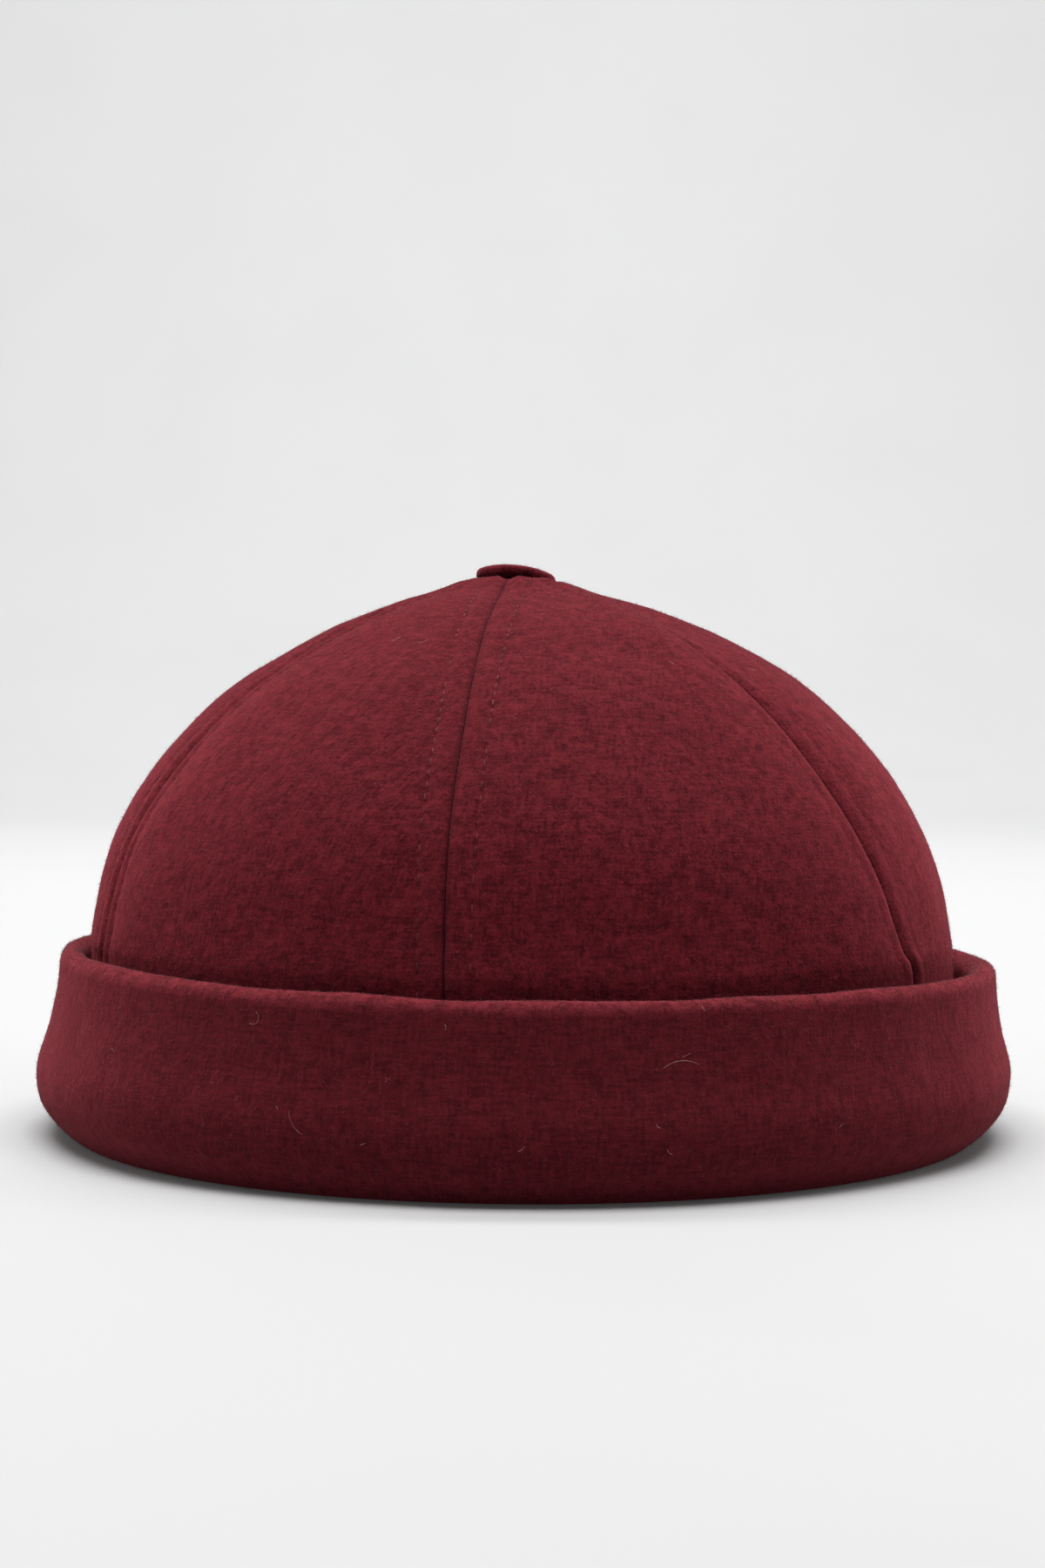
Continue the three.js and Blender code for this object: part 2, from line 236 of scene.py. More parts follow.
def add_piece(name: str, mesh: bpy.types.Mesh, finish: bpy.types.Material) -> bpy.types.Object:
    """Adds a piece of the cap, which rides on the cap's body.

    Args:
        name: The piece's name.
        mesh: Its mesh.
        finish: Its material.

    Returns:
        The piece.
    """
    piece = place_mesh(name, mesh, finish)
    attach(piece, BODY)
    return piece


def triangle_mesh(name: str, points: np.ndarray, triangles: np.ndarray) -> bpy.types.Mesh:
    """Makes a mesh of triangles.

    Args:
        name: The mesh's name.
        points: Its points.
        triangles: Three point numbers for each triangle.

    Returns:
        The mesh.
    """
    mesh = bpy.data.meshes.new(name)
    mesh.vertices.add(len(points))
    mesh.vertices.foreach_set("co", points.astype(np.float32).ravel())
    mesh.loops.add(3 * len(triangles))
    mesh.loops.foreach_set("vertex_index", triangles.astype(np.int32).ravel())
    mesh.polygons.add(len(triangles))
    mesh.polygons.foreach_set("loop_start", np.arange(0, 3 * len(triangles), 3, dtype=np.int32))
    mesh.update(calc_edges=True)
    mesh.validate()
    return mesh


def set_point_value(mesh: bpy.types.Mesh, kind: PointValue, values: np.ndarray) -> None:
    """Stores one number for each of a mesh's points, which its material can read."""
    attribute = mesh.attributes.new(kind.value, "FLOAT", "POINT")
    attribute.data.foreach_set("value", values.astype(np.float32))


def set_cloth_map(mesh: bpy.types.Mesh, flat: np.ndarray) -> None:
    """Stores where each of a mesh's points lies on the flat cloth, as its UV map.

    Args:
        mesh: The mesh.
        flat: Places on the flat cloth, in metres, across and along it, one for each point.
    """
    layer = mesh.uv_layers.new(name=CLOTH_MAP)
    corner = np.zeros(len(mesh.loops), np.int32)
    mesh.loops.foreach_get("vertex_index", corner)
    layer.data.foreach_set("uv", flat[corner].astype(np.float32).ravel())


def grid_quads(index: np.ndarray) -> list[tuple[int, ...]]:
    """Four-cornered faces of a grid of point numbers."""
    corners = [index[:-1, :-1], index[:-1, 1:], index[1:, 1:], index[1:, :-1]]
    return [tuple(q) for q in np.stack(corners, -1).reshape(-1, 4).tolist()]


def polygon_mesh(name: str, points: np.ndarray, polygons: list[tuple[int, ...]]) -> bpy.types.Mesh:
    """Makes a closed mesh whose faces point out.

    Args:
        name: The mesh's name.
        points: Its points.
        polygons: Point numbers of each face, all turned the same way.

    Returns:
        The mesh.
    """
    mesh = bpy.data.meshes.new(name)
    mesh.from_pydata(points.tolist(), [], polygons)
    mesh.update()
    mesh.calc_loop_triangles()
    corner = np.zeros(3 * len(mesh.loop_triangles), np.int32)
    mesh.loop_triangles.foreach_get("vertices", corner)
    stored = np.zeros(3 * len(mesh.vertices), np.float32)
    mesh.vertices.foreach_get("co", stored)
    a, b, c = stored.reshape(-1, 3)[corner.reshape(-1, 3)].transpose(1, 0, 2).astype(float)
    if (a * np.cross(b, c)).sum() < 0:
        mesh.flip_normals()
    return mesh


@dataclass
class ClothWall:
    """A closed wall of cloth: a fine outer face, a coarser inner face, and the edges between them."""

    outer: np.ndarray
    inner: np.ndarray
    wrapped: bool

    def coarse(self, values: np.ndarray) -> np.ndarray:
        """Those rows and columns of a fine grid that the inner face keeps."""
        return values[::COARSE_EVERY, ::COARSE_EVERY]

    def polygons(self) -> list[tuple[int, ...]]:
        """Numbers the corners of all polygons.

        Returns:
            Point numbers of each polygon, the outer face's points first.
        """
        rows, columns = self.outer.shape[:2]
        back_rows, back_columns = self.coarse(self.inner).shape[:2]
        fine = np.arange(rows * columns).reshape(rows, columns)
        coarse = rows * columns + np.arange(back_rows * back_columns).reshape(back_rows, back_columns)
        if self.wrapped:
            fine = np.hstack([fine, fine[:, :1]])
            coarse = np.hstack([coarse, coarse[:, :1]])
        polygons = grid_quads(fine) + grid_quads(coarse[:, ::-1])
        polygons += self.edge(fine[0][::-1], coarse[0][::-1]) + self.edge(fine[-1], coarse[-1])
        if not self.wrapped:
            polygons += self.edge(fine[:, 0], coarse[:, 0]) + self.edge(fine[::-1, -1], coarse[::-1, -1])
        return polygons

    @staticmethod
    def edge(fine: np.ndarray, coarse: np.ndarray) -> list[tuple[int, ...]]:
        """Joins a fine row of points to the coarser row behind it.

        Args:
            fine: Point numbers of the fine row.
            coarse: Point numbers of the coarser row.

        Returns:
            Point numbers of each polygon between them.
        """
        polygons = []
        for k in range(len(coarse) - 1):
            run = fine[k * COARSE_EVERY : (k + 1) * COARSE_EVERY + 1].tolist()
            polygons.append(tuple([*run, int(coarse[k + 1]), int(coarse[k])][::-1]))
        return polygons

    def mesh(self, name: str) -> bpy.types.Mesh:
        """The closed mesh, with its faces pointing out."""
        points = np.vstack([self.outer.reshape(-1, 3), self.coarse(self.inner).reshape(-1, 3)])
        return polygon_mesh(name, points, self.polygons())

    def store(self, mesh: bpy.types.Mesh, kind: PointValue, values: np.ndarray) -> None:
        """Stores a number for each point of the outer face; the inner face's points get 0."""
        behind = np.zeros(self.coarse(self.inner)[..., 0].size)
        set_point_value(mesh, kind, np.concatenate([values.ravel(), behind]))

    def lay_out(self, mesh: bpy.types.Mesh, across: np.ndarray, along: np.ndarray) -> None:
        """Stores where the cloth's points lie on it when it is flat.

        Args:
            mesh: The wall's mesh.
            across: Distance across the flat cloth at each point of the outer face.
            along: Distance along it.
        """
        flat = np.stack([across, along], -1)
        set_cloth_map(mesh, np.concatenate([flat.reshape(-1, 2), self.coarse(flat).reshape(-1, 2)]))


@dataclass(frozen=True)
class SeamForm:
    """How a seam of the crown strays from its plain azimuth, and how deep and crisp it shows."""

    turn_deg: float = 0.0
    bow_deg: float = 0.0
    valley: float = 0.5 * MM
    crispness: float = 1.0


PLAIN_SEAM = SeamForm()
SEAM_FORMS = {
    Seam.FRONT: SeamForm(bow_deg=-0.5, valley=0.2 * MM),
    Seam.RIGHT_FRONT: SeamForm(turn_deg=6.9, bow_deg=-7.5, crispness=0.3),
    Seam.LEFT_FRONT: SeamForm(bow_deg=2.3, valley=0.4 * MM, crispness=0.8),
}


def seam_form(number: int) -> SeamForm:
    """The form of a seam, whose number may run past the last one."""
    return SEAM_FORMS.get(Seam(number % SEAM_COUNT), PLAIN_SEAM)


@dataclass
class CrownShape:
    """The crown's outer form, as a function of place; azimuth 0 is the front and grows towards +X."""

    felt: float = 2.0 * MM
    radius: float = 93.5 * MM
    top: float = 118.5 * MM
    foot: float = 2.3 * MM
    front_to_back: float = 1.02
    top_tilt_deg: float = 3.0
    facet_depth: float = 0.5 * MM
    front_seam_deg: float = -9.0
    hole_radius: float = 2.8 * MM
    stitch_offset: float = 5.2 * MM
    stitch_pitch: float = 2.8 * MM
    stitch_dent: float = 0.2 * MM
    stitch_dent_width: float = 1.1 * MM
    needle_pit: float = 0.2 * MM
    needle_pit_width: float = 0.55 * MM
    needle_sharpness: int = 3
    seam_roll: float = 0.7 * MM
    softest_roll: float = 0.5
    seam_valley_width: float = 1.4 * MM
    band_lift: float = 0.45 * MM
    band_narrowing: float = 2.4
    puff: float = 1.2 * MM
    puff_width: float = 9.0 * MM
    full_relief_width: float = 31 * MM
    full_wave_width: float = 20 * MM
    row_columns: tuple[str, ...] = ("rise", "radius", "lean", "facet", "tilt", "puff")
    rows: tuple[tuple[float, ...], ...] = (
        (0.0, 1.0, 0.0, 0.0, 0.0, 0.0),
        (0.287, 0.998, 0.0, 0.5, 0.0, 0.1),
        (0.356, 0.994, 0.0, 1.0, 0.0, 0.4),
        (0.483, 0.959, 0.0, 1.0, 0.0, 0.8),
        (0.601, 0.891, 0.0, 1.0, 0.0, 1.0),
        (0.711, 0.788, -0.001, 1.0, 0.0, 1.0),
        (0.812, 0.651, -0.006, 1.0, 0.0, 1.0),
        (0.889, 0.49, -0.014, 0.8, 0.0, 0.9),
        (0.945, 0.329, -0.019, 0.6, 0.05, 0.7),
        (0.981, 0.195, -0.021, 0.4, 0.15, 0.5),
        (1.0, 0.122, -0.0215, 0.2, 0.4, 0.3),
        (0.992, 0.08, -0.0215, 0.0, 1.0, 0.0),
        (0.983, 0.03, -0.0215, 0.0, 1.0, 0.0),
    )
    section_stops: int = 1200
    apex_lift: float = 0.9 * MM
    apex_lift_radius: float = 9.0 * MM
    apex_lift_width: float = 5.0 * MM
    apex_lift_blend: float = 2 * MM
    apex_lift_least: float = 0.4
    dents: tuple[SoftDent, ...] = (
        SoftDent(40, 106 * MM, 9, 9 * MM, 1.4 * MM),
        SoftDent(60, 108 * MM, 9, 7 * MM, -0.7 * MM),
        SoftDent(-80, 100 * MM, 30, 10 * MM, -0.5 * MM),
        SoftDent(62, 60 * MM, 5, 16 * MM, -0.7 * MM),
        SoftDent(-30, 80 * MM, 14, 16 * MM, 0.5 * MM),
        SoftDent(18, 52 * MM, 12, 9 * MM, -0.4 * MM),
        SoftDent(-4, 67 * MM, 32, 12 * MM, 1.0 * MM),
        SoftDent(-4, 44 * MM, 34, 9 * MM, -0.7 * MM),
    )

    def __post_init__(self) -> None:
        """Works out the length along the section, from the foot on."""
        self.last = len(self.rows) - 1
        self.table = np.array(self.rows)
        self.stops = np.linspace(0, self.last, self.section_stops)
        section = self.point(self.stops, np.zeros_like(self.stops))
        steps = np.linalg.norm(np.diff(section, axis=0), axis=1)
        self.lengths = np.concatenate([[0.0], np.cumsum(steps)])

    def position(self, length: np.ndarray) -> np.ndarray:
        """Position in the table at a length along the section."""
        return np.interp(length, self.lengths, self.stops)

    def length(self, at: np.ndarray) -> np.ndarray:
        """Length along the section at a position in the table."""
        return np.interp(at, self.stops, self.lengths)

    def sizes(self, at: np.ndarray) -> dict[str, np.ndarray]:
        """Reads the crown's sizes.

        Args:
            at: Positions in the table.

        Returns:
            The sizes there by name, in metres; slope is the top's sideways fall.
        """
        share = dict(zip(self.row_columns, np.moveaxis(smooth_rows(self.table, at), -1, 0)))
        towards_hole = np.clip(at - (self.last - 1), 0, 1)
        last_radius = self.table[-1, 1] * self.radius
        return {
            "z": self.foot + share["rise"] * (self.top - self.foot),
            "radius": share["radius"] * self.radius + towards_hole * (self.hole_radius - last_radius),
            "lean": share["lean"] * self.radius,
            "facet": share["facet"] * self.facet_depth,
            "puff": share["puff"] * self.puff,
            "slope": share["tilt"] * math.tan(math.radians(self.top_tilt_deg)),
        }

    def seam_azimuth(self, seam: int, at: np.ndarray) -> np.ndarray:
        """Follows a seam.

        Args:
            seam: The seam's number.
            at: Positions in the table.

        Returns:
            The seam's azimuth at each of them, in radians.
        """
        form = seam_form(seam)
        along = np.clip((at - 1) / (self.last - 1), 0, 1)
        stray = form.turn_deg * (1 - along) + form.bow_deg * np.sin(math.pi * along)
        return np.radians(self.front_seam_deg + stray) + seam * FULL_TURN / SEAM_COUNT

    def point(self, at: np.ndarray, azimuth: np.ndarray) -> np.ndarray:
        """Places points on the smooth outer face, without its seams.

        Args:
            at: Positions in the table.
            azimuth: Azimuths, in radians.

        Returns:
            The points.
        """
        size = self.sizes(at)
        ripple = np.cos(SEAM_COUNT * (azimuth - math.radians(self.front_seam_deg)))
        radius = size["radius"] + size["facet"] * ripple
        x = radius * np.sin(azimuth)
        y = -radius * np.cos(azimuth) * self.front_to_back
        return np.stack([x + size["lean"], y, size["z"] - size["slope"] * x], -1)

    def outwards(self, at: np.ndarray, azimuth: np.ndarray) -> np.ndarray:
        """Finds the way out of the cloth.

        Args:
            at: Positions in the table.
            azimuth: Azimuths, in radians.

        Returns:
            A unit vector out of the smooth face at each place.
        """
        reach = 0.02
        up = self.point(np.minimum(at + reach, self.last), azimuth)
        up = up - self.point(np.maximum(at - reach, 0), azimuth)
        along = unit(self.point(at, azimuth + reach) - self.point(at, azimuth - reach))
        return unit(np.cross(along, up))

    def beat(self, length: np.ndarray) -> np.ndarray:
        """1 where the needle went through the cloth and 0 between, along the seam."""
        return (0.5 + 0.5 * np.cos(FULL_TURN * length / self.stitch_pitch)) ** self.needle_sharpness

    def relief(
        self, distance: np.ndarray, length: np.ndarray, valley: np.ndarray, crisp: np.ndarray
    ) -> np.ndarray:
        """Shapes the cloth beside a seam: its rolled edge, band, stitch line and needle pits.

        Args:
            distance: Distances from the seam.
            length: Lengths along it.
            valley: Depth of the soft valley in which the seam lies.
            crisp: How crisply the seam shows, from 0 to 1.

        Returns:
            Height of the relief, in metres.
        """
        inside = np.clip(self.seam_roll - distance, 0, self.seam_roll)
        roll = self.seam_roll - np.sqrt(np.maximum(self.seam_roll**2 - inside**2, 0))
        roll = roll * (self.softest_roll + (1 - self.softest_roll) * crisp)
        groove = roll + valley * bell(distance, 0, self.seam_valley_width)
        band_width = self.stitch_offset / self.band_narrowing
        band = self.band_lift * bell(distance, self.stitch_offset / 2, band_width)
        dent = self.stitch_dent * bell(distance, self.stitch_offset, self.stitch_dent_width)
        pit = self.needle_pit * self.beat(length) * bell(distance, self.stitch_offset, self.needle_pit_width)
        return (band - dent - pit) * crisp - groove

    def width(self, panel: int, at: np.ndarray) -> np.ndarray:
        """Width of a panel at positions in the table."""
        turn = self.seam_azimuth(panel + 1, at) - self.seam_azimuth(panel, at)
        return self.sizes(at)["radius"] * turn

    def panel_azimuth(
        self, panel: int, at: np.ndarray, distance: np.ndarray, width: np.ndarray
    ) -> np.ndarray:
        """Finds azimuths on a panel.

        Args:
            panel: Number of the panel, which is that of its first seam.
            at: Positions in the table.
            distance: Distances from the panel's first seam.
            width: The panel's width at those positions.

        Returns:
            The azimuths, in radians.
        """
        start = self.seam_azimuth(panel, at)
        return start + (self.seam_azimuth(panel + 1, at) - start) * distance / width

    def surface(self, panel: int, at: np.ndarray, distance: np.ndarray) -> tuple[np.ndarray, np.ndarray]:
        """Shapes the felt's outer face on a panel.

        Args:
            panel: Number of the panel, which is that of its first seam.
            at: Positions in the table.
            distance: Distances from the panel's first seam.

        Returns:
            Points with their relief, and unit vectors out of the cloth.
        """
        width = self.width(panel, at)
        azimuth = self.panel_azimuth(panel, at, distance, width)
        base = self.point(at, azimuth)
        out = self.outwards(at, azimuth)
        nearest = np.minimum(distance, width - distance)
        first, second = seam_form(panel), seam_form(panel + 1)
        at_first = distance < width / 2
        valley = np.where(at_first, first.valley, second.valley)
        crisp = np.where(at_first, first.crispness, second.crispness)
        size = self.sizes(at)
        height = self.relief(nearest, self.length(at), valley, crisp)
        height = height - size["puff"] * bell(nearest, 0, self.puff_width)
        height = height * np.clip(width / self.full_relief_width, 0, 1)
        lift = self.apex_lift * bell(size["radius"], self.apex_lift_radius, self.apex_lift_width)
        blend = np.clip(nearest / self.apex_lift_blend, self.apex_lift_least, 1)
        height = height + lift * np.clip(np.cos(azimuth), 0, 1) * blend
        height = height + cloth_relief(base) * np.clip(width / self.full_wave_width, 0, 1)
        for dent in self.dents:
            height = height + dent.at(azimuth, base[..., 2])
        return base + out * height[..., None], out


@dataclass
class CuffShape:
    """The turned-up cuff's section and outline."""

    crown: CrownShape
    height: float = 38.0 * MM
    lip_gap: float = 2.0 * MM
    fold_roll: float = 1.6 * MM
    swell: float = 4.1 * MM
    lean: float = 1.0 * MM
    lip_wave: float = 1.2 * MM
    hem_rise: float = 7.5 * MM
    facing_height: float = 12.0 * MM
    facing_gap: float = 0.8 * MM
    facing_roll: float = 1.5 * MM
    back_seam_dent: float = 0.8 * MM
    back_seam_width: float = 1.1 * MM
    resting_height: float = 1.5 * MM
    resting_blend: float = 6 * MM
    front_foot: float = 2.2 * MM
    front_foot_height: float = 2.5 * MM
    front_foot_blend: float = 4 * MM
    fine_step: float = 0.9 * MM
    columns: int = 560
    corner_stops: int = 6
    wall_stops: int = 90
    fold_stops: int = 14
    hem_stops: int = 24
    rows: tuple[tuple[float, float], ...] = (
        (0.0, -1.3),
        (0.02, -0.85),
        (0.09, -0.02),
        (0.19, 0.7),
        (0.3, 0.97),
        (0.42, 0.97),
        (0.6, 0.51),
        (0.78, 0.17),
        (0.91, 0.0),
    )
    waves: tuple[tuple[float, float, float], ...] = ((1, 0.96, 180.0), (2, 0.38, 270.0), (3, 0.35, 0.0))
    dents: tuple[SoftDent, ...] = (
        SoftDent(-90, 22 * MM, 30, 14 * MM, -0.9 * MM),
        SoftDent(-8, 37 * MM, 5, 5 * MM, -0.5 * MM),
        SoftDent(-22, 37 * MM, 8, 6 * MM, 0.5 * MM),
        SoftDent(52, 22 * MM, 4, 12 * MM, -0.4 * MM),
        SoftDent(-50, 18 * MM, 8, 9 * MM, 0.4 * MM),
        SoftDent(0, 16 * MM, 45, 10 * MM, -0.8 * MM),
    )

    def azimuth(self) -> np.ndarray:
        """Azimuths of the cuff's columns, from the front on."""
        return np.linspace(0, FULL_TURN, self.columns, endpoint=False)

    def wall(self, at: np.ndarray) -> np.ndarray:
        """Reads the outer face's table.

        Args:
            at: Positions in the table.

        Returns:
            The face's radius and height there.
        """
        lip_outer = self.crown.radius + self.lip_gap + 2 * self.crown.felt + self.fold_roll
        share = smooth_rows(np.array(self.rows), at)
        return np.stack([lip_outer + share[..., 1] * self.swell, share[..., 0] * self.height], -1)

    def middle_line(self) -> np.ndarray:
        """Draws the middle of the cloth in section.

        Returns:
            Radius and height along it, from the facing round the foot and over the lip to the hem.
        """
        half = self.crown.felt / 2
        facing = self.crown.radius - self.crown.felt - self.facing_gap - half
        corner = np.radians(np.linspace(180, 270, self.corner_stops))
        rolled = self.facing_roll * np.stack([np.cos(corner), np.sin(corner)], -1)
        rolled = rolled + [facing + self.facing_roll, half + self.facing_roll]
        at = np.linspace(0, len(self.rows) - 1, self.wall_stops)
        wall = self.wall(at)
        along = unit(np.gradient(wall, axis=0))
        wall = wall + half * np.stack([-along[:, 1], along[:, 0]], -1)
        wall[:, 1] = np.maximum(wall[:, 1], half)
        wall = wall[wall[:, 0] > facing + self.facing_roll]
        fold_radius = half + self.fold_roll / 2
        top = self.height - half - fold_radius
        turn = np.radians(np.linspace(0, 180, self.fold_stops))
        centre = [wall[-1, 0] - fold_radius, top]
        fold = fold_radius * np.stack([np.cos(turn), np.sin(turn)], -1) + centre
        hem_z = np.linspace(top, self.hem_rise, self.hem_stops)[1:]
        outer = np.interp(hem_z, wall[:, 1], wall[:, 0])
        hem = np.stack([outer - 2 * fold_radius, hem_z], -1)
        return np.vstack([[[facing, self.facing_height]], rolled, wall, fold, hem])

    def even_line(self) -> np.ndarray:
        """Draws the middle line again with evenly spaced points.

        Returns:
            Radius and height along it; its steps are a multiple of those that the inner face keeps.
        """
        line = self.middle_line()
        keep = np.concatenate([[True], np.linalg.norm(np.diff(line, axis=0), axis=1) > SAME_PLACE])
        line = line[keep]
        steps = np.concatenate([[0.0], np.cumsum(np.linalg.norm(np.diff(line, axis=0), axis=1))])
        count = COARSE_EVERY * int(steps[-1] / self.fine_step / COARSE_EVERY)
        at = np.linspace(0, steps[-1], count + 1)
        return np.stack([np.interp(at, steps, line[:, 0]), np.interp(at, steps, line[:, 1])], -1)

    def faces(self) -> tuple[np.ndarray, np.ndarray]:
        """Draws the cloth's two faces in section.

        Returns:
            The outer and the inner face, half the felt's thickness either side of its middle.
        """
        line = self.even_line()
        along = unit(np.gradient(line, axis=0))
        across = np.stack([along[:, 1], -along[:, 0]], -1) * self.crown.felt / 2
        return line + across, line - across

    def carry(self, section: np.ndarray, azimuth: np.ndarray) -> np.ndarray:
        """Carries a section round the head, with its lean, its waves and its blunter foot in front.

        Args:
            section: Radius and height along the section.
            azimuth: Azimuths of the columns, in radians.

        Returns:
            The face as a grid of points.
        """
        radius, z = section[:, :1], section[:, 1:]
        reach = np.clip((radius - self.crown.radius) / self.front_foot_blend, 0, 1)
        fill = bell(z, 0, self.front_foot_height) * reach
        radius = radius + self.front_foot * fill * np.clip(np.cos(azimuth), 0, 1) ** 2
        share = np.clip((z - self.facing_height) / (self.height - self.facing_height), 0, 1)
        wave = sum(h * np.sin(n * azimuth + math.radians(p)) for n, h, p in self.waves)
        x = radius * np.sin(azimuth) + self.lean * share
        y = -radius * np.cos(azimuth) * self.crown.front_to_back
        return np.stack([x, y, z + wave * self.lip_wave * share], -1)

    def grids(self) -> tuple[np.ndarray, np.ndarray]:
        """Shapes the cuff's faces.

        Returns:
            The outer face as a grid of points, with the cloth's relief and the seam at its back, and
            the plain inner face.
        """
        outer, inner = self.faces()
        azimuth = self.azimuth()
        grid = self.carry(outer, azimuth)
        behind = self.carry(inner, azimuth)
        out = unit(grid - behind)
        exposed = np.clip((grid[..., 2] - self.resting_height) / self.resting_blend, 0, 1)
        height = cloth_relief(grid) * exposed
        for dent in self.dents:
            height = height + dent.at(azimuth[None, :], grid[..., 2]) * exposed
        around = (azimuth - math.pi) * self.crown.radius
        height = height - self.back_seam_dent * bell(around, 0, self.back_seam_width) * exposed
        return grid + out * height[..., None], behind


class NodeSheet:
    """Adds and links the nodes of one shader tree."""

    def __init__(self, tree: bpy.types.NodeTree) -> None:
        """Works on a tree."""
        self.tree = tree

    def add(self, kind: str, **values: object) -> bpy.types.Node:
        """Adds a node.

        Args:
            kind: The node's type, without the words ShaderNode before it.
            **values: Values for its inputs, where the name is an input's, or else its properties.

        Returns:
            The node.
        """
        node = self.tree.nodes.new("ShaderNode" + kind)
        for name, value in values.items():
            label = name.replace("_", " ")
            if label in node.inputs:
                node.inputs[label].default_value = value
            else:
                setattr(node, name, value)
        return node

    def feed(self, slot: bpy.types.NodeSocket, value: object) -> None:
        """Gives an input its value, or links it to an output.

        Args:
            slot: The input.
            value: A plain value, or the output to link.
        """
        if isinstance(value, bpy.types.NodeSocket):
            self.tree.links.new(value, slot)
        else:
            slot.default_value = value

    def math(self, operation: str, first: object, second: object = 0.0) -> bpy.types.NodeSocket:
        """Works out a sum of two values.

        Args:
            operation: The kind of sum.
            first: A number or a socket.
            second: A number or a socket.

        Returns:
            The result's socket.
        """
        node = self.add("Math", operation=operation)
        self.feed(node.inputs[0], first)
        self.feed(node.inputs[1], second)
        return node.outputs[0]

    def total(self, *parts: tuple[object, float]) -> bpy.types.NodeSocket:
        """Adds up values.

        Args:
            *parts: Sockets, each with its weight.

        Returns:
            The total's socket.
        """
        products = [self.math("MULTIPLY", value, weight) for value, weight in parts]
        total = products[0]
        for product in products[1:]:
            total = self.math("ADD", total, product)
        return total

    def noise(self, vector: bpy.types.NodeSocket, scale: object, detail: float) -> bpy.types.NodeSocket:
        """Reads a noise.

        Args:
            vector: The place.
            scale: The noise's scale, a number or a socket.
            detail: Its detail.

        Returns:
            The noise's value.
        """
        node = self.add("TexNoise", Detail=detail)
        self.feed(node.inputs["Vector"], vector)
        self.feed(node.inputs["Scale"], scale)
        return node.outputs["Fac"]

    def spread(self, value: bpy.types.NodeSocket, low: float, high: float) -> bpy.types.NodeSocket:
        """Stretches a value smoothly.

        Args:
            value: The value.
            low: What becomes 0.
            high: What becomes 1.

        Returns:
            The stretched value.
        """
        node = self.add("MapRange", interpolation_type="SMOOTHSTEP", From_Min=low, From_Max=high)
        self.feed(node.inputs["Value"], value)
        return node.outputs["Result"]

    def stretched(self, vector: bpy.types.NodeSocket, scale: Place) -> bpy.types.NodeSocket:
        """Multiplies a vector.

        Args:
            vector: The vector.
            scale: The factor along each axis.

        Returns:
            The stretched vector.
        """
        node = self.add("VectorMath", operation="MULTIPLY")
        self.feed(node.inputs[0], vector)
        self.feed(node.inputs[1], scale)
        return node.outputs[0]

    def mix(self, factor: bpy.types.NodeSocket, first: object, second: object) -> bpy.types.NodeSocket:
        """Blends two colours.

        Args:
            factor: The second colour's share.
            first: A colour or a colour socket.
            second: A colour or a colour socket.

        Returns:
            The blend's socket.
        """
        node = self.add("Mix", data_type="RGBA")
        for slot, value in ((0, factor), (6, first), (7, second)):
            self.feed(node.inputs[slot], value)
        return node.outputs[2]

    def effect(self, effect: SharedEffect, vector: bpy.types.NodeSocket) -> bpy.types.NodeSocket:
        """Places a shared effect.

        Args:
            effect: The effect.
            vector: The place that it reads.

        Returns:
            The effect's result.
        """
        node = self.add("Group")
        node.node_tree = effect.tree()
        self.feed(node.inputs["Vector"], vector)
        return node.outputs[effect.result]


class SharedEffect:
    """An effect that several finishes use: a shader node group, built when it is first needed."""

    made: dict[str, bpy.types.NodeTree] = {}
    name = ""
    result = "Mask"

    def inputs(self) -> dict[str, float]:
        """The group's number inputs, with their usual values."""
        return {}

    def work_out(self, sheet: NodeSheet, entry: bpy.types.Node) -> bpy.types.NodeSocket:
        """Adds the nodes that make the effect.

        Args:
            sheet: The group's nodes.
            entry: The node that holds the group's inputs.

        Returns:
            The socket of the result.
        """
        raise NotImplementedError

    def tree(self) -> bpy.types.NodeTree:
        """Finds the group, or builds it.

        Returns:
            The group, with a Vector input, its number inputs and one number output.
        """
        if self.name in self.made:
            return self.made[self.name]
        tree = bpy.data.node_groups.new(self.name, "ShaderNodeTree")
        tree.interface.new_socket("Vector", in_out="INPUT", socket_type="NodeSocketVector")
        for label, value in self.inputs().items():
            socket = tree.interface.new_socket(label, in_out="INPUT", socket_type="NodeSocketFloat")
            socket.default_value = value
        tree.interface.new_socket(self.result, in_out="OUTPUT", socket_type="NodeSocketFloat")
        entry = tree.nodes.new("NodeGroupInput")
        end = tree.nodes.new("NodeGroupOutput")
        sheet = NodeSheet(tree)
        sheet.feed(end.inputs[self.result], self.work_out(sheet, entry))
        self.made[self.name] = tree
        return tree


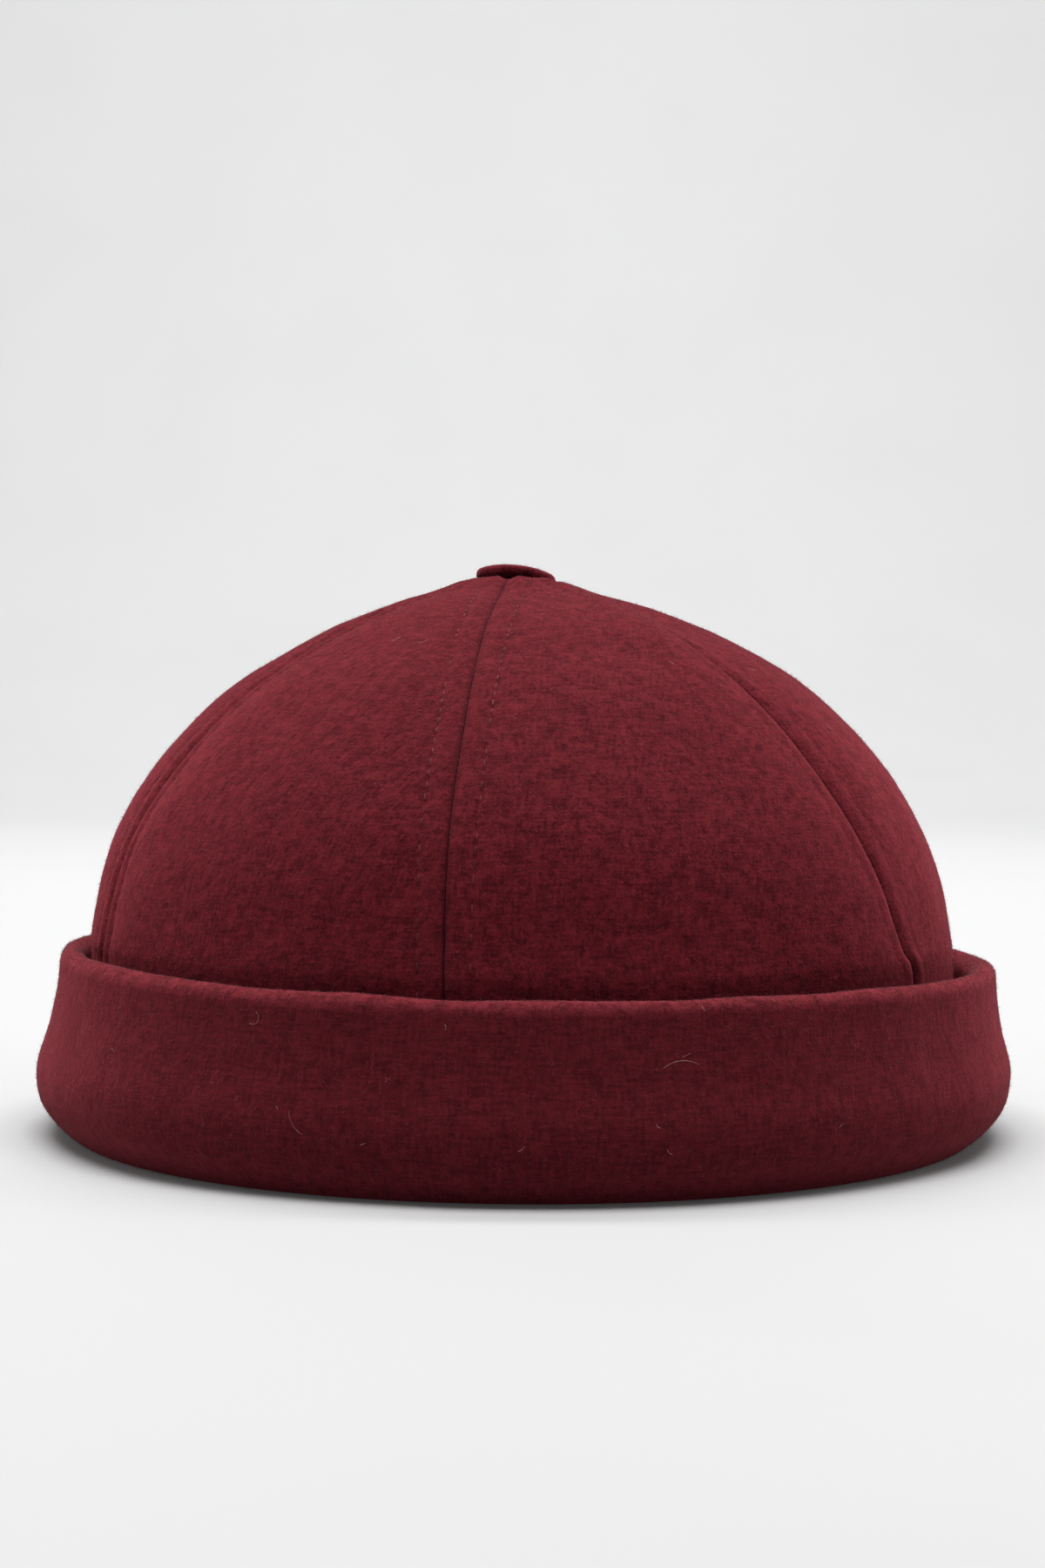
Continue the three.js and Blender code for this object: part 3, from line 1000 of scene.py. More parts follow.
@dataclass(frozen=True)
class FibreMottle(SharedEffect):
    """Clumps of darker and lighter fibre, coarse and fine, as one mask."""

    name = "fibre_mottle"
    clump_scale: float = 420.0
    clump_detail: float = 3.0
    clump_share: float = 0.42
    fibre_scale: float = 1500.0
    fibre_detail: float = 2.0
    fibre_share: float = 0.4
    warp_scale: float = 420.0
    warp_detail: float = 1.0
    warp_reach: float = 0.0018
    darkest: float = 0.31
    lightest: float = 0.51

    def inputs(self) -> dict[str, float]:
        """The group's number inputs, with their usual values."""
        return {"Clump Scale": self.clump_scale, "Fibre Scale": self.fibre_scale}

    def work_out(self, sheet: NodeSheet, entry: bpy.types.Node) -> bpy.types.NodeSocket:
        """Adds the nodes that make the mottle.

        Args:
            sheet: The group's nodes.
            entry: The node that holds the group's inputs.

        Returns:
            The socket of the mask.
        """
        place = entry.outputs["Vector"]
        warp = sheet.add("TexNoise", Scale=self.warp_scale, Detail=self.warp_detail)
        sheet.feed(warp.inputs["Vector"], place)
        shift = sheet.add("VectorMath", operation="MULTIPLY_ADD")
        sheet.feed(shift.inputs[0], warp.outputs["Color"])
        sheet.feed(shift.inputs[1], (self.warp_reach,) * 3)
        sheet.feed(shift.inputs[2], place)
        clumps = sheet.noise(shift.outputs[0], entry.outputs["Clump Scale"], self.clump_detail)
        fibres = sheet.noise(shift.outputs[0], entry.outputs["Fibre Scale"], self.fibre_detail)
        total = sheet.total((clumps, self.clump_share), (fibres, self.fibre_share))
        return sheet.spread(total, self.darkest, self.lightest)


@dataclass(frozen=True)
class ClothStreaks(SharedEffect):
    """Short streaks along and across the cloth, where the weave below the nap pulls at it."""

    name = "cloth_streaks"
    scale: float = 1.0
    detail: float = 1.0
    along: Place = (1500.0, 260.0, 1.0)
    across: Place = (230.0, 1500.0, 1.0)
    darkest: float = 0.78
    lightest: float = 1.22

    def inputs(self) -> dict[str, float]:
        """The group's number inputs, with their usual values."""
        return {"Scale": self.scale}

    def work_out(self, sheet: NodeSheet, entry: bpy.types.Node) -> bpy.types.NodeSocket:
        """Adds the nodes that make the streaks.

        Args:
            sheet: The group's nodes.
            entry: The node that holds the group's inputs.

        Returns:
            The socket of the mask.
        """
        scaled = sheet.add("VectorMath", operation="SCALE")
        sheet.feed(scaled.inputs[0], entry.outputs["Vector"])
        sheet.feed(scaled.inputs["Scale"], entry.outputs["Scale"])
        along = sheet.noise(sheet.stretched(scaled.outputs[0], self.along), 1.0, self.detail)
        across = sheet.noise(sheet.stretched(scaled.outputs[0], self.across), 1.0, self.detail)
        return sheet.spread(sheet.math("ADD", along, across), self.darkest, self.lightest)


@dataclass(frozen=True)
class CurledFibres(SharedEffect):
    """Single curled fibres that lie on the nap: short pieces of a noise's contour lines."""

    name = "curled_fibres"
    scale: float = 330.0
    detail: float = 1.5
    width: float = 0.011
    contour: float = 0.5
    break_scale: float = 610.0
    broken_below: float = 0.52
    whole_above: float = 0.62

    def inputs(self) -> dict[str, float]:
        """The group's number inputs, with their usual values."""
        return {"Scale": self.scale, "Width": self.width}

    def work_out(self, sheet: NodeSheet, entry: bpy.types.Node) -> bpy.types.NodeSocket:
        """Adds the nodes that make the fibres.

        Args:
            sheet: The group's nodes.
            entry: The node that holds the group's inputs.

        Returns:
            The socket of the mask.
        """
        place = entry.outputs["Vector"]
        value = sheet.noise(place, entry.outputs["Scale"], self.detail)
        line = sheet.math("ABSOLUTE", sheet.math("SUBTRACT", value, self.contour))
        thin = sheet.math("SUBTRACT", 1.0, sheet.math("DIVIDE", line, entry.outputs["Width"]))
        thin = sheet.math("MAXIMUM", thin, 0.0)
        breaks = sheet.noise(place, self.break_scale, 0.0)
        return sheet.math("MULTIPLY", thin, sheet.spread(breaks, self.broken_below, self.whole_above))


@dataclass(frozen=True)
class NapHeight(SharedEffect):
    """Height of the nap, raised by brushing, for a bump."""

    name = "nap_height"
    result = "Height"
    fine_scale: float = 2100.0
    fine_detail: float = 3.0
    fine_share: float = 0.5
    tuft_scale: float = 620.0
    tuft_share: float = 0.7
    soft_scale: float = 190.0
    soft_share: float = 0.9
    detail: float = 2.0

    def inputs(self) -> dict[str, float]:
        """The group's number inputs, with their usual values."""
        return {"Fine Scale": self.fine_scale}

    def work_out(self, sheet: NodeSheet, entry: bpy.types.Node) -> bpy.types.NodeSocket:
        """Adds the nodes that make the nap.

        Args:
            sheet: The group's nodes.
            entry: The node that holds the group's inputs.

        Returns:
            The socket of the height.
        """
        place = entry.outputs["Vector"]
        fine = sheet.noise(place, entry.outputs["Fine Scale"], self.fine_detail)
        tuft = sheet.noise(place, self.tuft_scale, self.detail)
        soft = sheet.noise(place, self.soft_scale, self.detail)
        return sheet.total((fine, self.fine_share), (tuft, self.tuft_share), (soft, self.soft_share))


def fresh_material(
    name: str, plain: dict[str, object]
) -> tuple[bpy.types.Material, NodeSheet, bpy.types.Node]:
    """Makes a material with a Principled shader joined to its output.

    Args:
        name: The material's name.
        plain: Those of the shader's values that are the same all over the surface.

    Returns:
        The material, its nodes and its shader.
    """
    material = bpy.data.materials.new(name)
    material.use_nodes = True
    material.node_tree.nodes.clear()
    sheet = NodeSheet(material.node_tree)
    shader = sheet.add("BsdfPrincipled")
    for label, value in plain.items():
        shader.inputs[label].default_value = value
    sheet.feed(sheet.add("OutputMaterial").inputs["Surface"], shader.outputs["BSDF"])
    return material, sheet, shader


@dataclass(frozen=True)
class FeltFinish:
    """Fulled wool cloth: mottled, streaked along the weave, with a short nap and stray fibres, and with
    painted shade and a painted highlight mixed in where the mesh's point values ask for them.
    """

    name: str = "burgundy_felt"
    deep: Colour = (0.0515, 0.0046, 0.0077, 1.0)
    bright: Colour = (0.158, 0.0134, 0.0206, 1.0)
    curl: Colour = (0.3, 0.04, 0.055, 1.0)
    # colour of the painted highlight on the cuff's lip
    painted_highlight: Colour = (0.34, 0.042, 0.058, 1.0)
    # colour of the painted shade
    crease: Colour = (0.028, 0.003, 0.005, 1.0)
    streak_share: float = 0.4
    curl_share: float = 0.3
    curl_height: float = 0.4
    # share of the painted highlight, and its least share where the mottle is dark
    highlight_share: float = 0.42
    least_highlight: float = 0.2
    roughness: float = 0.93
    roughness_swing: float = 0.06
    diffuse_roughness: float = 0.5
    specular: float = 0.05
    sheen: float = 0.24
    sheen_roughness: float = 0.5
    sheen_tint: Colour = (1.0, 0.15, 0.2, 1.0)
    nap_depth: float = 0.3 * MM

    def colour(
        self, sheet: NodeSheet, mottle: bpy.types.NodeSocket, curl: bpy.types.NodeSocket
    ) -> bpy.types.NodeSocket:
        """Colours the felt.

        Args:
            sheet: The material's nodes.
            mottle: Mask of the light clumps.
            curl: Mask of the curled fibres.

        Returns:
            The colour's socket.
        """
        cloth = sheet.add("UVMap").outputs["UV"]
        streak = sheet.effect(ClothStreaks(), cloth)
        tone = sheet.total((mottle, 1.0 - self.streak_share), (streak, self.streak_share))
        colour = sheet.mix(tone, self.deep, self.bright)
        colour = sheet.mix(sheet.math("MULTIPLY", curl, self.curl_share), colour, self.curl)
        # painted highlight along the cuff's lip, broken up by the mottle
        painted_highlight = sheet.add("Attribute", attribute_name=PointValue.PAINTED_HIGHLIGHT.value).outputs["Fac"]
        patchy = sheet.math("MULTIPLY", painted_highlight, sheet.math("ADD", self.least_highlight, mottle))
        colour = sheet.mix(sheet.math("MULTIPLY", patchy, self.highlight_share), colour, self.painted_highlight)
        # painted shade: darkens the colour where the mesh's painted-shade value asks for it
        crease = sheet.add("Attribute", attribute_name=PointValue.CREASE.value).outputs["Fac"]
        return sheet.mix(crease, colour, self.crease)

    def material(self) -> bpy.types.Material:
        """Makes the felt's material.

        Returns:
            The material.
        """
        plain = {
            "Specular IOR Level": self.specular,
            "Diffuse Roughness": self.diffuse_roughness,
            "Sheen Weight": self.sheen,
            "Sheen Roughness": self.sheen_roughness,
            "Sheen Tint": self.sheen_tint,
        }
        material, sheet, shader = fresh_material(self.name, plain)
        place = sheet.add("TexCoord").outputs["Object"]
        mottle = sheet.effect(FibreMottle(), place)
        curl = sheet.effect(CurledFibres(), place)
        height = sheet.effect(NapHeight(), place)
        sheet.feed(shader.inputs["Base Color"], self.colour(sheet, mottle, curl))
        swing = self.roughness_swing
        rough = sheet.add("MapRange", To_Min=self.roughness + swing, To_Max=self.roughness - swing)
        sheet.feed(rough.inputs["Value"], mottle)
        sheet.feed(shader.inputs["Roughness"], rough.outputs["Result"])
        bump = sheet.add("Bump", Strength=1.0, Distance=self.nap_depth)
        raised = sheet.math("ADD", height, sheet.math("MULTIPLY", curl, self.curl_height))
        sheet.feed(bump.inputs["Height"], raised)
        sheet.feed(shader.inputs["Normal"], bump.outputs["Normal"])
        return material


@dataclass(frozen=True)
class FibreFinish:
    """Loose ends of wool, thread or lint: one tone drifting into another from fibre to fibre."""

    name: str
    dark: Colour
    light: Colour
    scale: float = 900.0
    roughness: float = 0.8
    roughness_swing: float = 0.1
    specular: float = 0.25
    sheen: float = 0.2
    darkest: float = 0.38
    lightest: float = 0.66
    bump_strength: float = 0.3
    bump_depth: float = 0.08 * MM

    def material(self) -> bpy.types.Material:
        """Makes the fibres' material.

        Returns:
            The material.
        """
        plain = {"Specular IOR Level": self.specular, "Sheen Weight": self.sheen}
        material, sheet, shader = fresh_material(self.name, plain)
        place = sheet.add("TexCoord").outputs["Object"]
        mask = sheet.spread(sheet.noise(place, self.scale, 1.0), self.darkest, self.lightest)
        sheet.feed(shader.inputs["Base Color"], sheet.mix(mask, self.dark, self.light))
        rough = sheet.math("ADD", self.roughness, sheet.math("MULTIPLY", mask, self.roughness_swing))
        sheet.feed(shader.inputs["Roughness"], rough)
        bump = sheet.add("Bump", Strength=self.bump_strength, Distance=self.bump_depth)
        sheet.feed(bump.inputs["Height"], sheet.effect(NapHeight(), place))
        sheet.feed(shader.inputs["Normal"], bump.outputs["Normal"])
        return material


@dataclass(frozen=True)
class PaperFinish:
    """The pale matt paper that the cap stands on, lit a little from behind."""

    name: str = "pale_paper"
    colour: Colour = (0.46, 0.46, 0.463, 1.0)
    mark: Colour = (0.453, 0.453, 0.456, 1.0)
    mark_scale: float = 6.0
    least_marked: float = 0.4
    most_marked: float = 0.7
    roughness: float = 0.7
    specular: float = 0.2
    glow: float = 0.03

    def material(self) -> bpy.types.Material:
        """Makes the paper's material.

        Returns:
            The material.
        """
        plain = {
            "Roughness": self.roughness,
            "Specular IOR Level": self.specular,
            "Emission Color": WHITE,
            "Emission Strength": self.glow,
        }
        material, sheet, shader = fresh_material(self.name, plain)
        place = sheet.add("TexCoord").outputs["Object"]
        mask = sheet.spread(sheet.noise(place, self.mark_scale, 2.0), self.least_marked, self.most_marked)
        sheet.feed(shader.inputs["Base Color"], sheet.mix(mask, self.colour, self.mark))
        return material


PANEL_FELT = FeltFinish()
CUFF_FELT = FeltFinish(
    name="burgundy_felt_cuff",
    deep=(0.056, 0.0054, 0.0085, 1.0),
    bright=(0.121, 0.0116, 0.0168, 1.0),
    streak_share=0.55,
)
FELT_NAP = FibreFinish("felt_nap", dark=(0.082, 0.007, 0.012, 1.0), light=(0.2, 0.022, 0.031, 1.0))
SEWING_THREAD = FibreFinish(
    "sewing_thread",
    dark=(0.05, 0.005, 0.007, 1.0),
    light=(0.16, 0.015, 0.018, 1.0),
    scale=400.0,
    roughness=0.6,
    sheen=0.0,
)
PALE_LINT = FibreFinish(
    "pale_lint",
    dark=(0.38, 0.15, 0.15, 1.0),
    light=(0.66, 0.4, 0.38, 1.0),
    scale=700.0,
    roughness=0.7,
    sheen=0.1,
)


def scatter(grid: np.ndarray, count: int, rng: np.random.Generator) -> tuple[np.ndarray, np.ndarray]:
    """Finds random places on a grid of points, evenly over its area.

    Args:
        grid: Rows and columns of points.
        count: How many places.
        rng: Source of chance.

    Returns:
        Points on the surface, and unit vectors out of the cap there.
    """
    a, b, c, d = grid[:-1, :-1], grid[1:, :-1], grid[:-1, 1:], grid[1:, 1:]
    cross = np.cross(c - a, b - a).reshape(-1, 3)
    share = np.cumsum(np.linalg.norm(cross, axis=1))
    cell = np.searchsorted(share / share[-1], rng.random(count))
    u, v = rng.random((2, count, 1))
    a, b, c, d = (corner.reshape(-1, 3)[cell] for corner in (a, b, c, d))
    points = (1 - u) * ((1 - v) * a + v * c) + u * ((1 - v) * b + v * d)
    normals = unit(cross[cell])
    outwards = np.sign(((points - HEAD_MIDDLE) * normals).sum(-1, keepdims=True))
    return points, normals * outwards


@dataclass(frozen=True)
class Nap:
    """Short ends of wool that stand or lie on the cloth and soften its outline."""

    density: float = 1.46 / MM**2
    shortest: float = 0.35 * MM
    longest: float = 0.95 * MM
    thickness: float = 0.076 * MM
    standing_share: float = 0.5
    standing_length: float = 1.05
    standing_lift: tuple[float, float] = (0.5, 1.0)
    lying_lift: tuple[float, float] = (0.08, 0.35)
    side_lean: float = 0.3
    root_depth: float = 0.12 * MM
    most: int = 48000

    def count(self, grid: np.ndarray) -> int:
        """How many fibres a grid of points carries."""
        cross = np.cross(grid[1:, :-1] - grid[:-1, :-1], grid[:-1, 1:] - grid[:-1, :-1])
        return min(self.most, int(np.linalg.norm(cross, axis=-1).sum() * self.density))

    def build(self, name: str, grid: np.ndarray, seed: int, fuzz: bpy.types.Material) -> None:
        """Makes the nap of one piece of cloth as slender closed spikes.

        Args:
            name: The new piece's name.
            grid: The cloth's outer face, as rows and columns of points.
            seed: Seed of its chance.
            fuzz: The ends' material.
        """
        rng = np.random.default_rng(seed)
        count = self.count(grid)
        points, normals = scatter(grid, count, rng)
        side = unit(np.cross(normals, rng.normal(size=(count, 3))))
        standing = rng.random(count) < self.standing_share
        steep, flat = (rng.uniform(*lifts, count) for lifts in (self.standing_lift, self.lying_lift))
        lift = np.where(standing, steep, flat)
        way = unit(side * np.sqrt(1 - lift**2)[:, None] + normals * lift[:, None])
        length = rng.uniform(self.shortest, self.longest, count)
        length = length * np.where(standing, self.standing_length, 1.0)
        root = points - normals * self.root_depth
        first = unit(np.cross(way, normals + side * self.side_lean))
        second = np.cross(way, first)
        ring = []
        for angle in np.radians([0, 120, 240]):
            ring.append(root + self.thickness / 2 * (math.cos(angle) * first + math.sin(angle) * second))
        tip = root + way * length[:, None]
        vertices = np.stack([*ring, tip], 1).reshape(-1, 3)
        corners = np.array([[0, 2, 1], [0, 1, 3], [1, 2, 3], [2, 0, 3]])
        triangles = (np.arange(count)[:, None, None] * 4 + corners).reshape(-1, 3)
        piece = add_piece(name, triangle_mesh(name, vertices, triangles), fuzz)
        LOG.info("%s: %d ends", name, count)


def tubes(
    points: np.ndarray, out: np.ndarray, radius: np.ndarray, sides: int
) -> tuple[np.ndarray, np.ndarray]:
    """Shapes a closed tube along each of several lines.

    Args:
        points: Lines as an array of line, point and coordinate.
        out: Unit vectors out of the cloth at the same points.
        radius: The tube's radius at each point along a line.
        sides: Number of its sides.

    Returns:
        The tubes' points and triangles.
    """
    lines, stops = points.shape[:2]
    way = unit(np.gradient(points, axis=1))
    first = unit(out - (out * way).sum(-1, keepdims=True) * way)
    second = np.cross(way, first)
    angle = np.arange(sides) * FULL_TURN / sides
    ring = first[:, :, None] * np.cos(angle)[:, None] + second[:, :, None] * np.sin(angle)[:, None]
    ring = points[:, :, None] + ring * radius[None, :, None, None]
    index = np.arange(stops * sides).reshape(stops, sides)
    after = np.roll(index, -1, axis=1)
    a, b, c, d = index[:-1], after[:-1], after[1:], index[1:]
    walls = np.concatenate([np.stack([a, c, b], -1), np.stack([a, d, c], -1)]).reshape(-1, 3)
    start = np.array([[0, k, k + 1] for k in range(1, sides - 1)])
    end = start[:, ::-1] + (stops - 1) * sides
    one = np.vstack([walls, start, end])
    triangles = (np.arange(lines)[:, None, None] * stops * sides + one).reshape(-1, 3)
    return ring.reshape(-1, 3), triangles


@dataclass
class PanelFaces:
    """One panel's grids: both faces, the distance from the nearer seam and the length from the foot."""

    outer: np.ndarray
    inner: np.ndarray
    nearest: np.ndarray
    length: np.ndarray


@dataclass
class Crown:
    """The six felt panels with their topstitching and their nap."""

    shape: CrownShape
    row_step: float = 0.7 * MM
    middle_columns: int = 37
    seam_columns_mm: tuple[float, ...] = (
        0.04, 0.14, 0.3, 0.5, 0.75, 1.05, 1.45, 1.95, 2.6, 3.3, 3.95,
        4.45, 4.8, 5.05, 5.3, 5.55, 5.85, 6.3, 7.0, 8.0, 9.6, 12.0,
    )
    widest_share: float = 0.4
    allowance: float = 6.5 * MM
    allowance_felt: float = 1.1 * MM
    full_allowance_width: float = 25 * MM
    # painted shade along each seam groove (its width, soft and crisp strength) and in the needle pits
    seam_shade_width: float = 0.55 * MM
    seam_shade_soft: float = 0.12
    seam_shade_crisp: float = 0.68
    pit_shade: float = 0.35
    pit_shade_width: float = 0.4 * MM
    map_spacing: float = 130 * MM
    thread_radius: float = 0.17 * MM
    thread_sides: int = 6
    thread_taper: float = 0.35
    stitch_stops: int = 8
    stitch_share: float = 0.74
    stitch_lift: float = 0.1 * MM
    stitch_sink: float = 0.4 * MM
    stitch_wander: float = 0.12 * MM
    wander_length: float = 9 * MM
    deepest_buried: float = 0.3 * MM
    soft_buried: float = 0.5 * MM
    lowest_stitch: float = 26 * MM
    narrowest_stitched: float = 18.0 * MM
    stitch_seed: int = 500
    nap_foot: float = 33 * MM
    nap_seed: int = 100

    def columns(self, width: np.ndarray) -> np.ndarray:
        """Places a panel's columns.

        Args:
            width: The panel's width at each of its rows.

        Returns:
            Distances of the columns from the panel's first seam, for each row.
        """
        side = np.array(self.seam_columns_mm) * MM
        squeeze = np.minimum(1, self.widest_share * width / side[-1])[:, None]
        left = side * squeeze
        middle = np.linspace(0, 1, self.middle_columns + 2)[1:-1]
        inner = left[:, -1:] + (width[:, None] - 2 * left[:, -1:]) * middle
        return np.hstack([left, inner, width[:, None] - left[:, ::-1]])

    def faces(self, panel: int) -> PanelFaces:
        """Shapes one panel.

        Args:
            panel: The panel's number.

        Returns:
            Its grids.
        """
        shape = self.shape
        count = COARSE_EVERY * int(shape.lengths[-1] / self.row_step / COARSE_EVERY)
        length = np.linspace(0, shape.lengths[-1], count + 1)
        at = shape.position(length)
        width = shape.width(panel, at)
        distance = self.columns(width)
        spread_at = np.broadcast_to(at[:, None], distance.shape)
        outer, out = shape.surface(panel, spread_at, distance)
        nearest = np.minimum(distance, width[:, None] - distance)
        azimuth = shape.panel_azimuth(panel, at[:, None], distance, width[:, None])
        base = shape.point(spread_at, azimuth)
        folded = np.where(nearest < self.allowance, self.allowance_felt, 0.0)
        folded = folded * np.clip(width / self.full_allowance_width, 0, 1)[:, None]
        inner = base - out * (shape.felt + folded)[..., None]
        return PanelFaces(outer, inner, nearest, np.broadcast_to(length[:, None], distance.shape))

    def painted_seam_shade(self, number: int, faces: PanelFaces) -> np.ndarray:
        """Paints shade into a panel's seam grooves and needle pits.

        Args:
            number: The panel's number.
            faces: Its grids.

        Returns:
            How much painted shade each point of the outer face gets, from 0 to 1.
        """
        at_first = np.arange(faces.nearest.shape[1]) < faces.nearest.shape[1] / 2
        crisp = np.where(at_first, seam_form(number).crispness, seam_form(number + 1).crispness)
        # painted shade in the seam groove, stronger for a crisp seam, then painted shade in the needle pits
        line = bell(faces.nearest, 0, self.seam_shade_width)
        line = line * (self.seam_shade_soft + self.seam_shade_crisp * crisp)
        pits = self.pit_shade * crisp * self.shape.beat(faces.length)
        pits = pits * bell(faces.nearest, self.shape.stitch_offset, self.pit_shade_width)
        return np.clip(line + pits, 0, 1)

    def declare(self, piece: bpy.types.Object, number: int) -> None:
        """Hides the imported solid that a panel stands for, and works out the panel's widths, which nothing
        uses.

        Args:
            piece: The panel; not used.
            number: Its number.
        """
        shape = self.shape
        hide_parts(f"crown_panel_{number + 1}")
        widest = float(shape.width(number, np.array([0.0]))[0])
        widths = shape.width(number, shape.stops)

    def panel(self, number: int, felt: bpy.types.Material) -> np.ndarray:
        """Builds one panel.

        Args:
            number: The panel's number.
            felt: Its material.

        Returns:
            Its outer face.
        """
        faces = self.faces(number)
        name = f"felt_panel_{number + 1}"
        wall = ClothWall(faces.outer, faces.inner, wrapped=False)
        mesh = wall.mesh(name)
        # stores the painted shade of the seam grooves and needle pits
        wall.store(mesh, PointValue.CREASE, self.painted_seam_shade(number, faces))
        steps = np.diff(faces.outer, axis=1, prepend=faces.outer[:, :1])
        across = np.cumsum(np.linalg.norm(steps, axis=-1), axis=1)
        wall.lay_out(mesh, across + number * self.map_spacing, faces.length)
        piece = add_piece(name, mesh, felt)
        self.declare(piece, number)
        LOG.info("%s: %d polygons", name, len(mesh.polygons))
        return faces.outer

    def stitch_rows(self, seam: int, side: Side) -> tuple[np.ndarray, np.ndarray]:
        """Lays the stitches on one side of a seam.

        Args:
            seam: The seam's number.
            side: The side on which they run.

        Returns:
            A line along each stitch, and unit vectors out of the cloth along it.
        """
        shape = self.shape
        panel = seam if side is Side.AFTER else seam - 1
        knots = np.arange(shape.lengths[-1] // shape.stitch_pitch) * shape.stitch_pitch
        middles = knots + shape.stitch_pitch / 2
        at = shape.position(middles)
        wide = shape.width(panel, at) > self.narrowest_stitched
        middles = middles[wide & (shape.sizes(at)["z"] > self.lowest_stitch)]
        share = np.linspace(-0.5, 0.5, self.stitch_stops)
        length = middles[:, None] + share * shape.stitch_pitch * self.stitch_share
        at = shape.position(length)
        wander = self.stitch_wander * np.sin(middles / self.wander_length + seam)[:, None]
        distance = np.full_like(at, shape.stitch_offset) + wander
        if side is Side.BEFORE:
            distance = shape.width(panel, at) - distance
        points, out = shape.surface(panel, at, distance)
        arch = np.cos(share * math.pi) ** 0.5
        lift = self.stitch_lift * arch - self.stitch_sink * (1 - arch) ** 2
        chance = np.random.default_rng(self.stitch_seed + 2 * seam + (side is Side.AFTER))
        buried = self.deepest_buried * chance.random((len(points), 1, 1))
        buried = buried + self.soft_buried * (1 - seam_form(seam).crispness)
        return points + out * (lift[None, :, None] - buried), out

    def topstitch(self, thread: bpy.types.Material) -> None:
        """Builds the topstitching on both sides of every seam, one piece for each seam.

        Args:
            thread: The thread's material.
        """
        taper = 1 - self.thread_taper * np.abs(np.linspace(-1, 1, self.stitch_stops)) ** 3
        for seam in Seam:
            rows = [self.stitch_rows(seam.value, side) for side in Side]
            points = np.concatenate([row[0] for row in rows])
            out = np.concatenate([row[1] for row in rows])
            vertices, triangles = tubes(points, out, self.thread_radius * taper, self.thread_sides)
            name = f"topstitch_{seam.name.lower()}"
            add_piece(name, triangle_mesh(name, vertices, triangles), thread)
            LOG.info("%s: %d stitches", name, len(points))

    def build(self, felt: bpy.types.Material, nap: Nap, fuzz: bpy.types.Material) -> list[np.ndarray]:
        """Builds the panels and their nap.

        Args:
            felt: The panels' material.
            nap: Their nap.
            fuzz: The nap's material.

        Returns:
            The part of each panel's face that shows above the cuff.
        """
        faces = []
        for number in range(SEAM_COUNT):
            outer = self.panel(number, felt)
            shown = outer[outer[:, :, 2].mean(1) > self.nap_foot]
            nap.build(f"panel_nap_{number + 1}", shown, self.nap_seed + number, fuzz)
            faces.append(shown)
        return faces


@dataclass
class Cuff:
    """The turned-up cuff with its nap."""

    shape: CuffShape
    # strength and width of the painted shade along the cuff's back seam
    back_seam_shade: float = 0.6
    back_seam_shade_width: float = 0.45 * MM
    # height of the band below the lip's crest that gets the painted highlight and the extra nap
    lip_band: float = 2.8 * MM
    lip_nap: Nap = Nap(density=3.4 / MM**2, standing_share=0.6)
    rows_past_lip: int = 4
    least_proud: float = 3 * MM
    nap_seed: int = 200
    lip_nap_seed: int = 210

    def dress(self, wall: ClothWall, mesh: bpy.types.Mesh) -> None:
        """Stores the painted shade of the back seam, the painted highlight on the lip and the place on the
        flat strip.

        Args:
            wall: The cuff's wall.
            mesh: Its mesh.
        """
        shape = self.shape
        outer = wall.outer
        rows, columns = outer.shape[:2]
        around = np.abs(shape.azimuth() - math.pi) * shape.crown.radius
        # painted shade along the back seam
        seam = self.back_seam_shade * bell(around, 0, self.back_seam_shade_width)
        wall.store(mesh, PointValue.CREASE, np.broadcast_to(seam, (rows, columns)))
        # painted highlight, strongest at the lip's crest and fading over the lip band
        below_crest = outer[..., 2].max(0) - outer[..., 2]
        wall.store(mesh, PointValue.PAINTED_HIGHLIGHT, np.clip(1 - below_crest / self.lip_band, 0, 1))
        across = np.arange(columns) / columns * FULL_TURN * shape.crown.radius
        along = np.arange(rows)[:, None] * shape.fine_step
        wall.lay_out(mesh, across + np.zeros((rows, 1)), along + np.zeros(columns))

    def declare(self, piece: bpy.types.Object) -> None:
        """Hides the imported solid that the cuff stands for, and draws its middle line, which nothing uses.

        Args:
            piece: The cuff; not used.
        """
        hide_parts("cuff")
        line = self.shape.even_line()

    def build(self, felt: bpy.types.Material, nap: Nap, fuzz: bpy.types.Material) -> np.ndarray:
        """Builds the cuff and its nap.

        Args:
            felt: The cuff's material.
            nap: Its nap.
            fuzz: The nap's material.

        Returns:
            The part of its face that shows.
        """
        shape = self.shape
        outer, inner = shape.grids()
        wall = ClothWall(outer, inner, wrapped=True)
        mesh = wall.mesh("felt_cuff")
        self.dress(wall, mesh)
        self.declare(add_piece("felt_cuff", mesh, felt))
        LOG.info("felt_cuff: %d polygons", len(mesh.polygons))
        radius = np.hypot(outer[..., 0], outer[..., 1]).mean(1)
        lip = int(outer[..., 2].mean(1).argmax())
        seen = np.arange(len(outer)) <= lip + self.rows_past_lip
        shown = outer[seen & (radius > shape.crown.radius + self.least_proud)]
        closed = np.concatenate([shown, shown[:, :1]], axis=1)
        half = closed.shape[1] // 2
        for number, part in enumerate((closed[:, : half + 1], closed[:, half:])):
            nap.build(f"cuff_nap_{number + 1}", part, self.nap_seed + number, fuzz)
        lip_rows = closed[..., 2].mean(1) > shape.height - self.lip_band
        self.lip_nap.build("cuff_lip_nap", closed[lip_rows], self.lip_nap_seed, fuzz)
        return shown


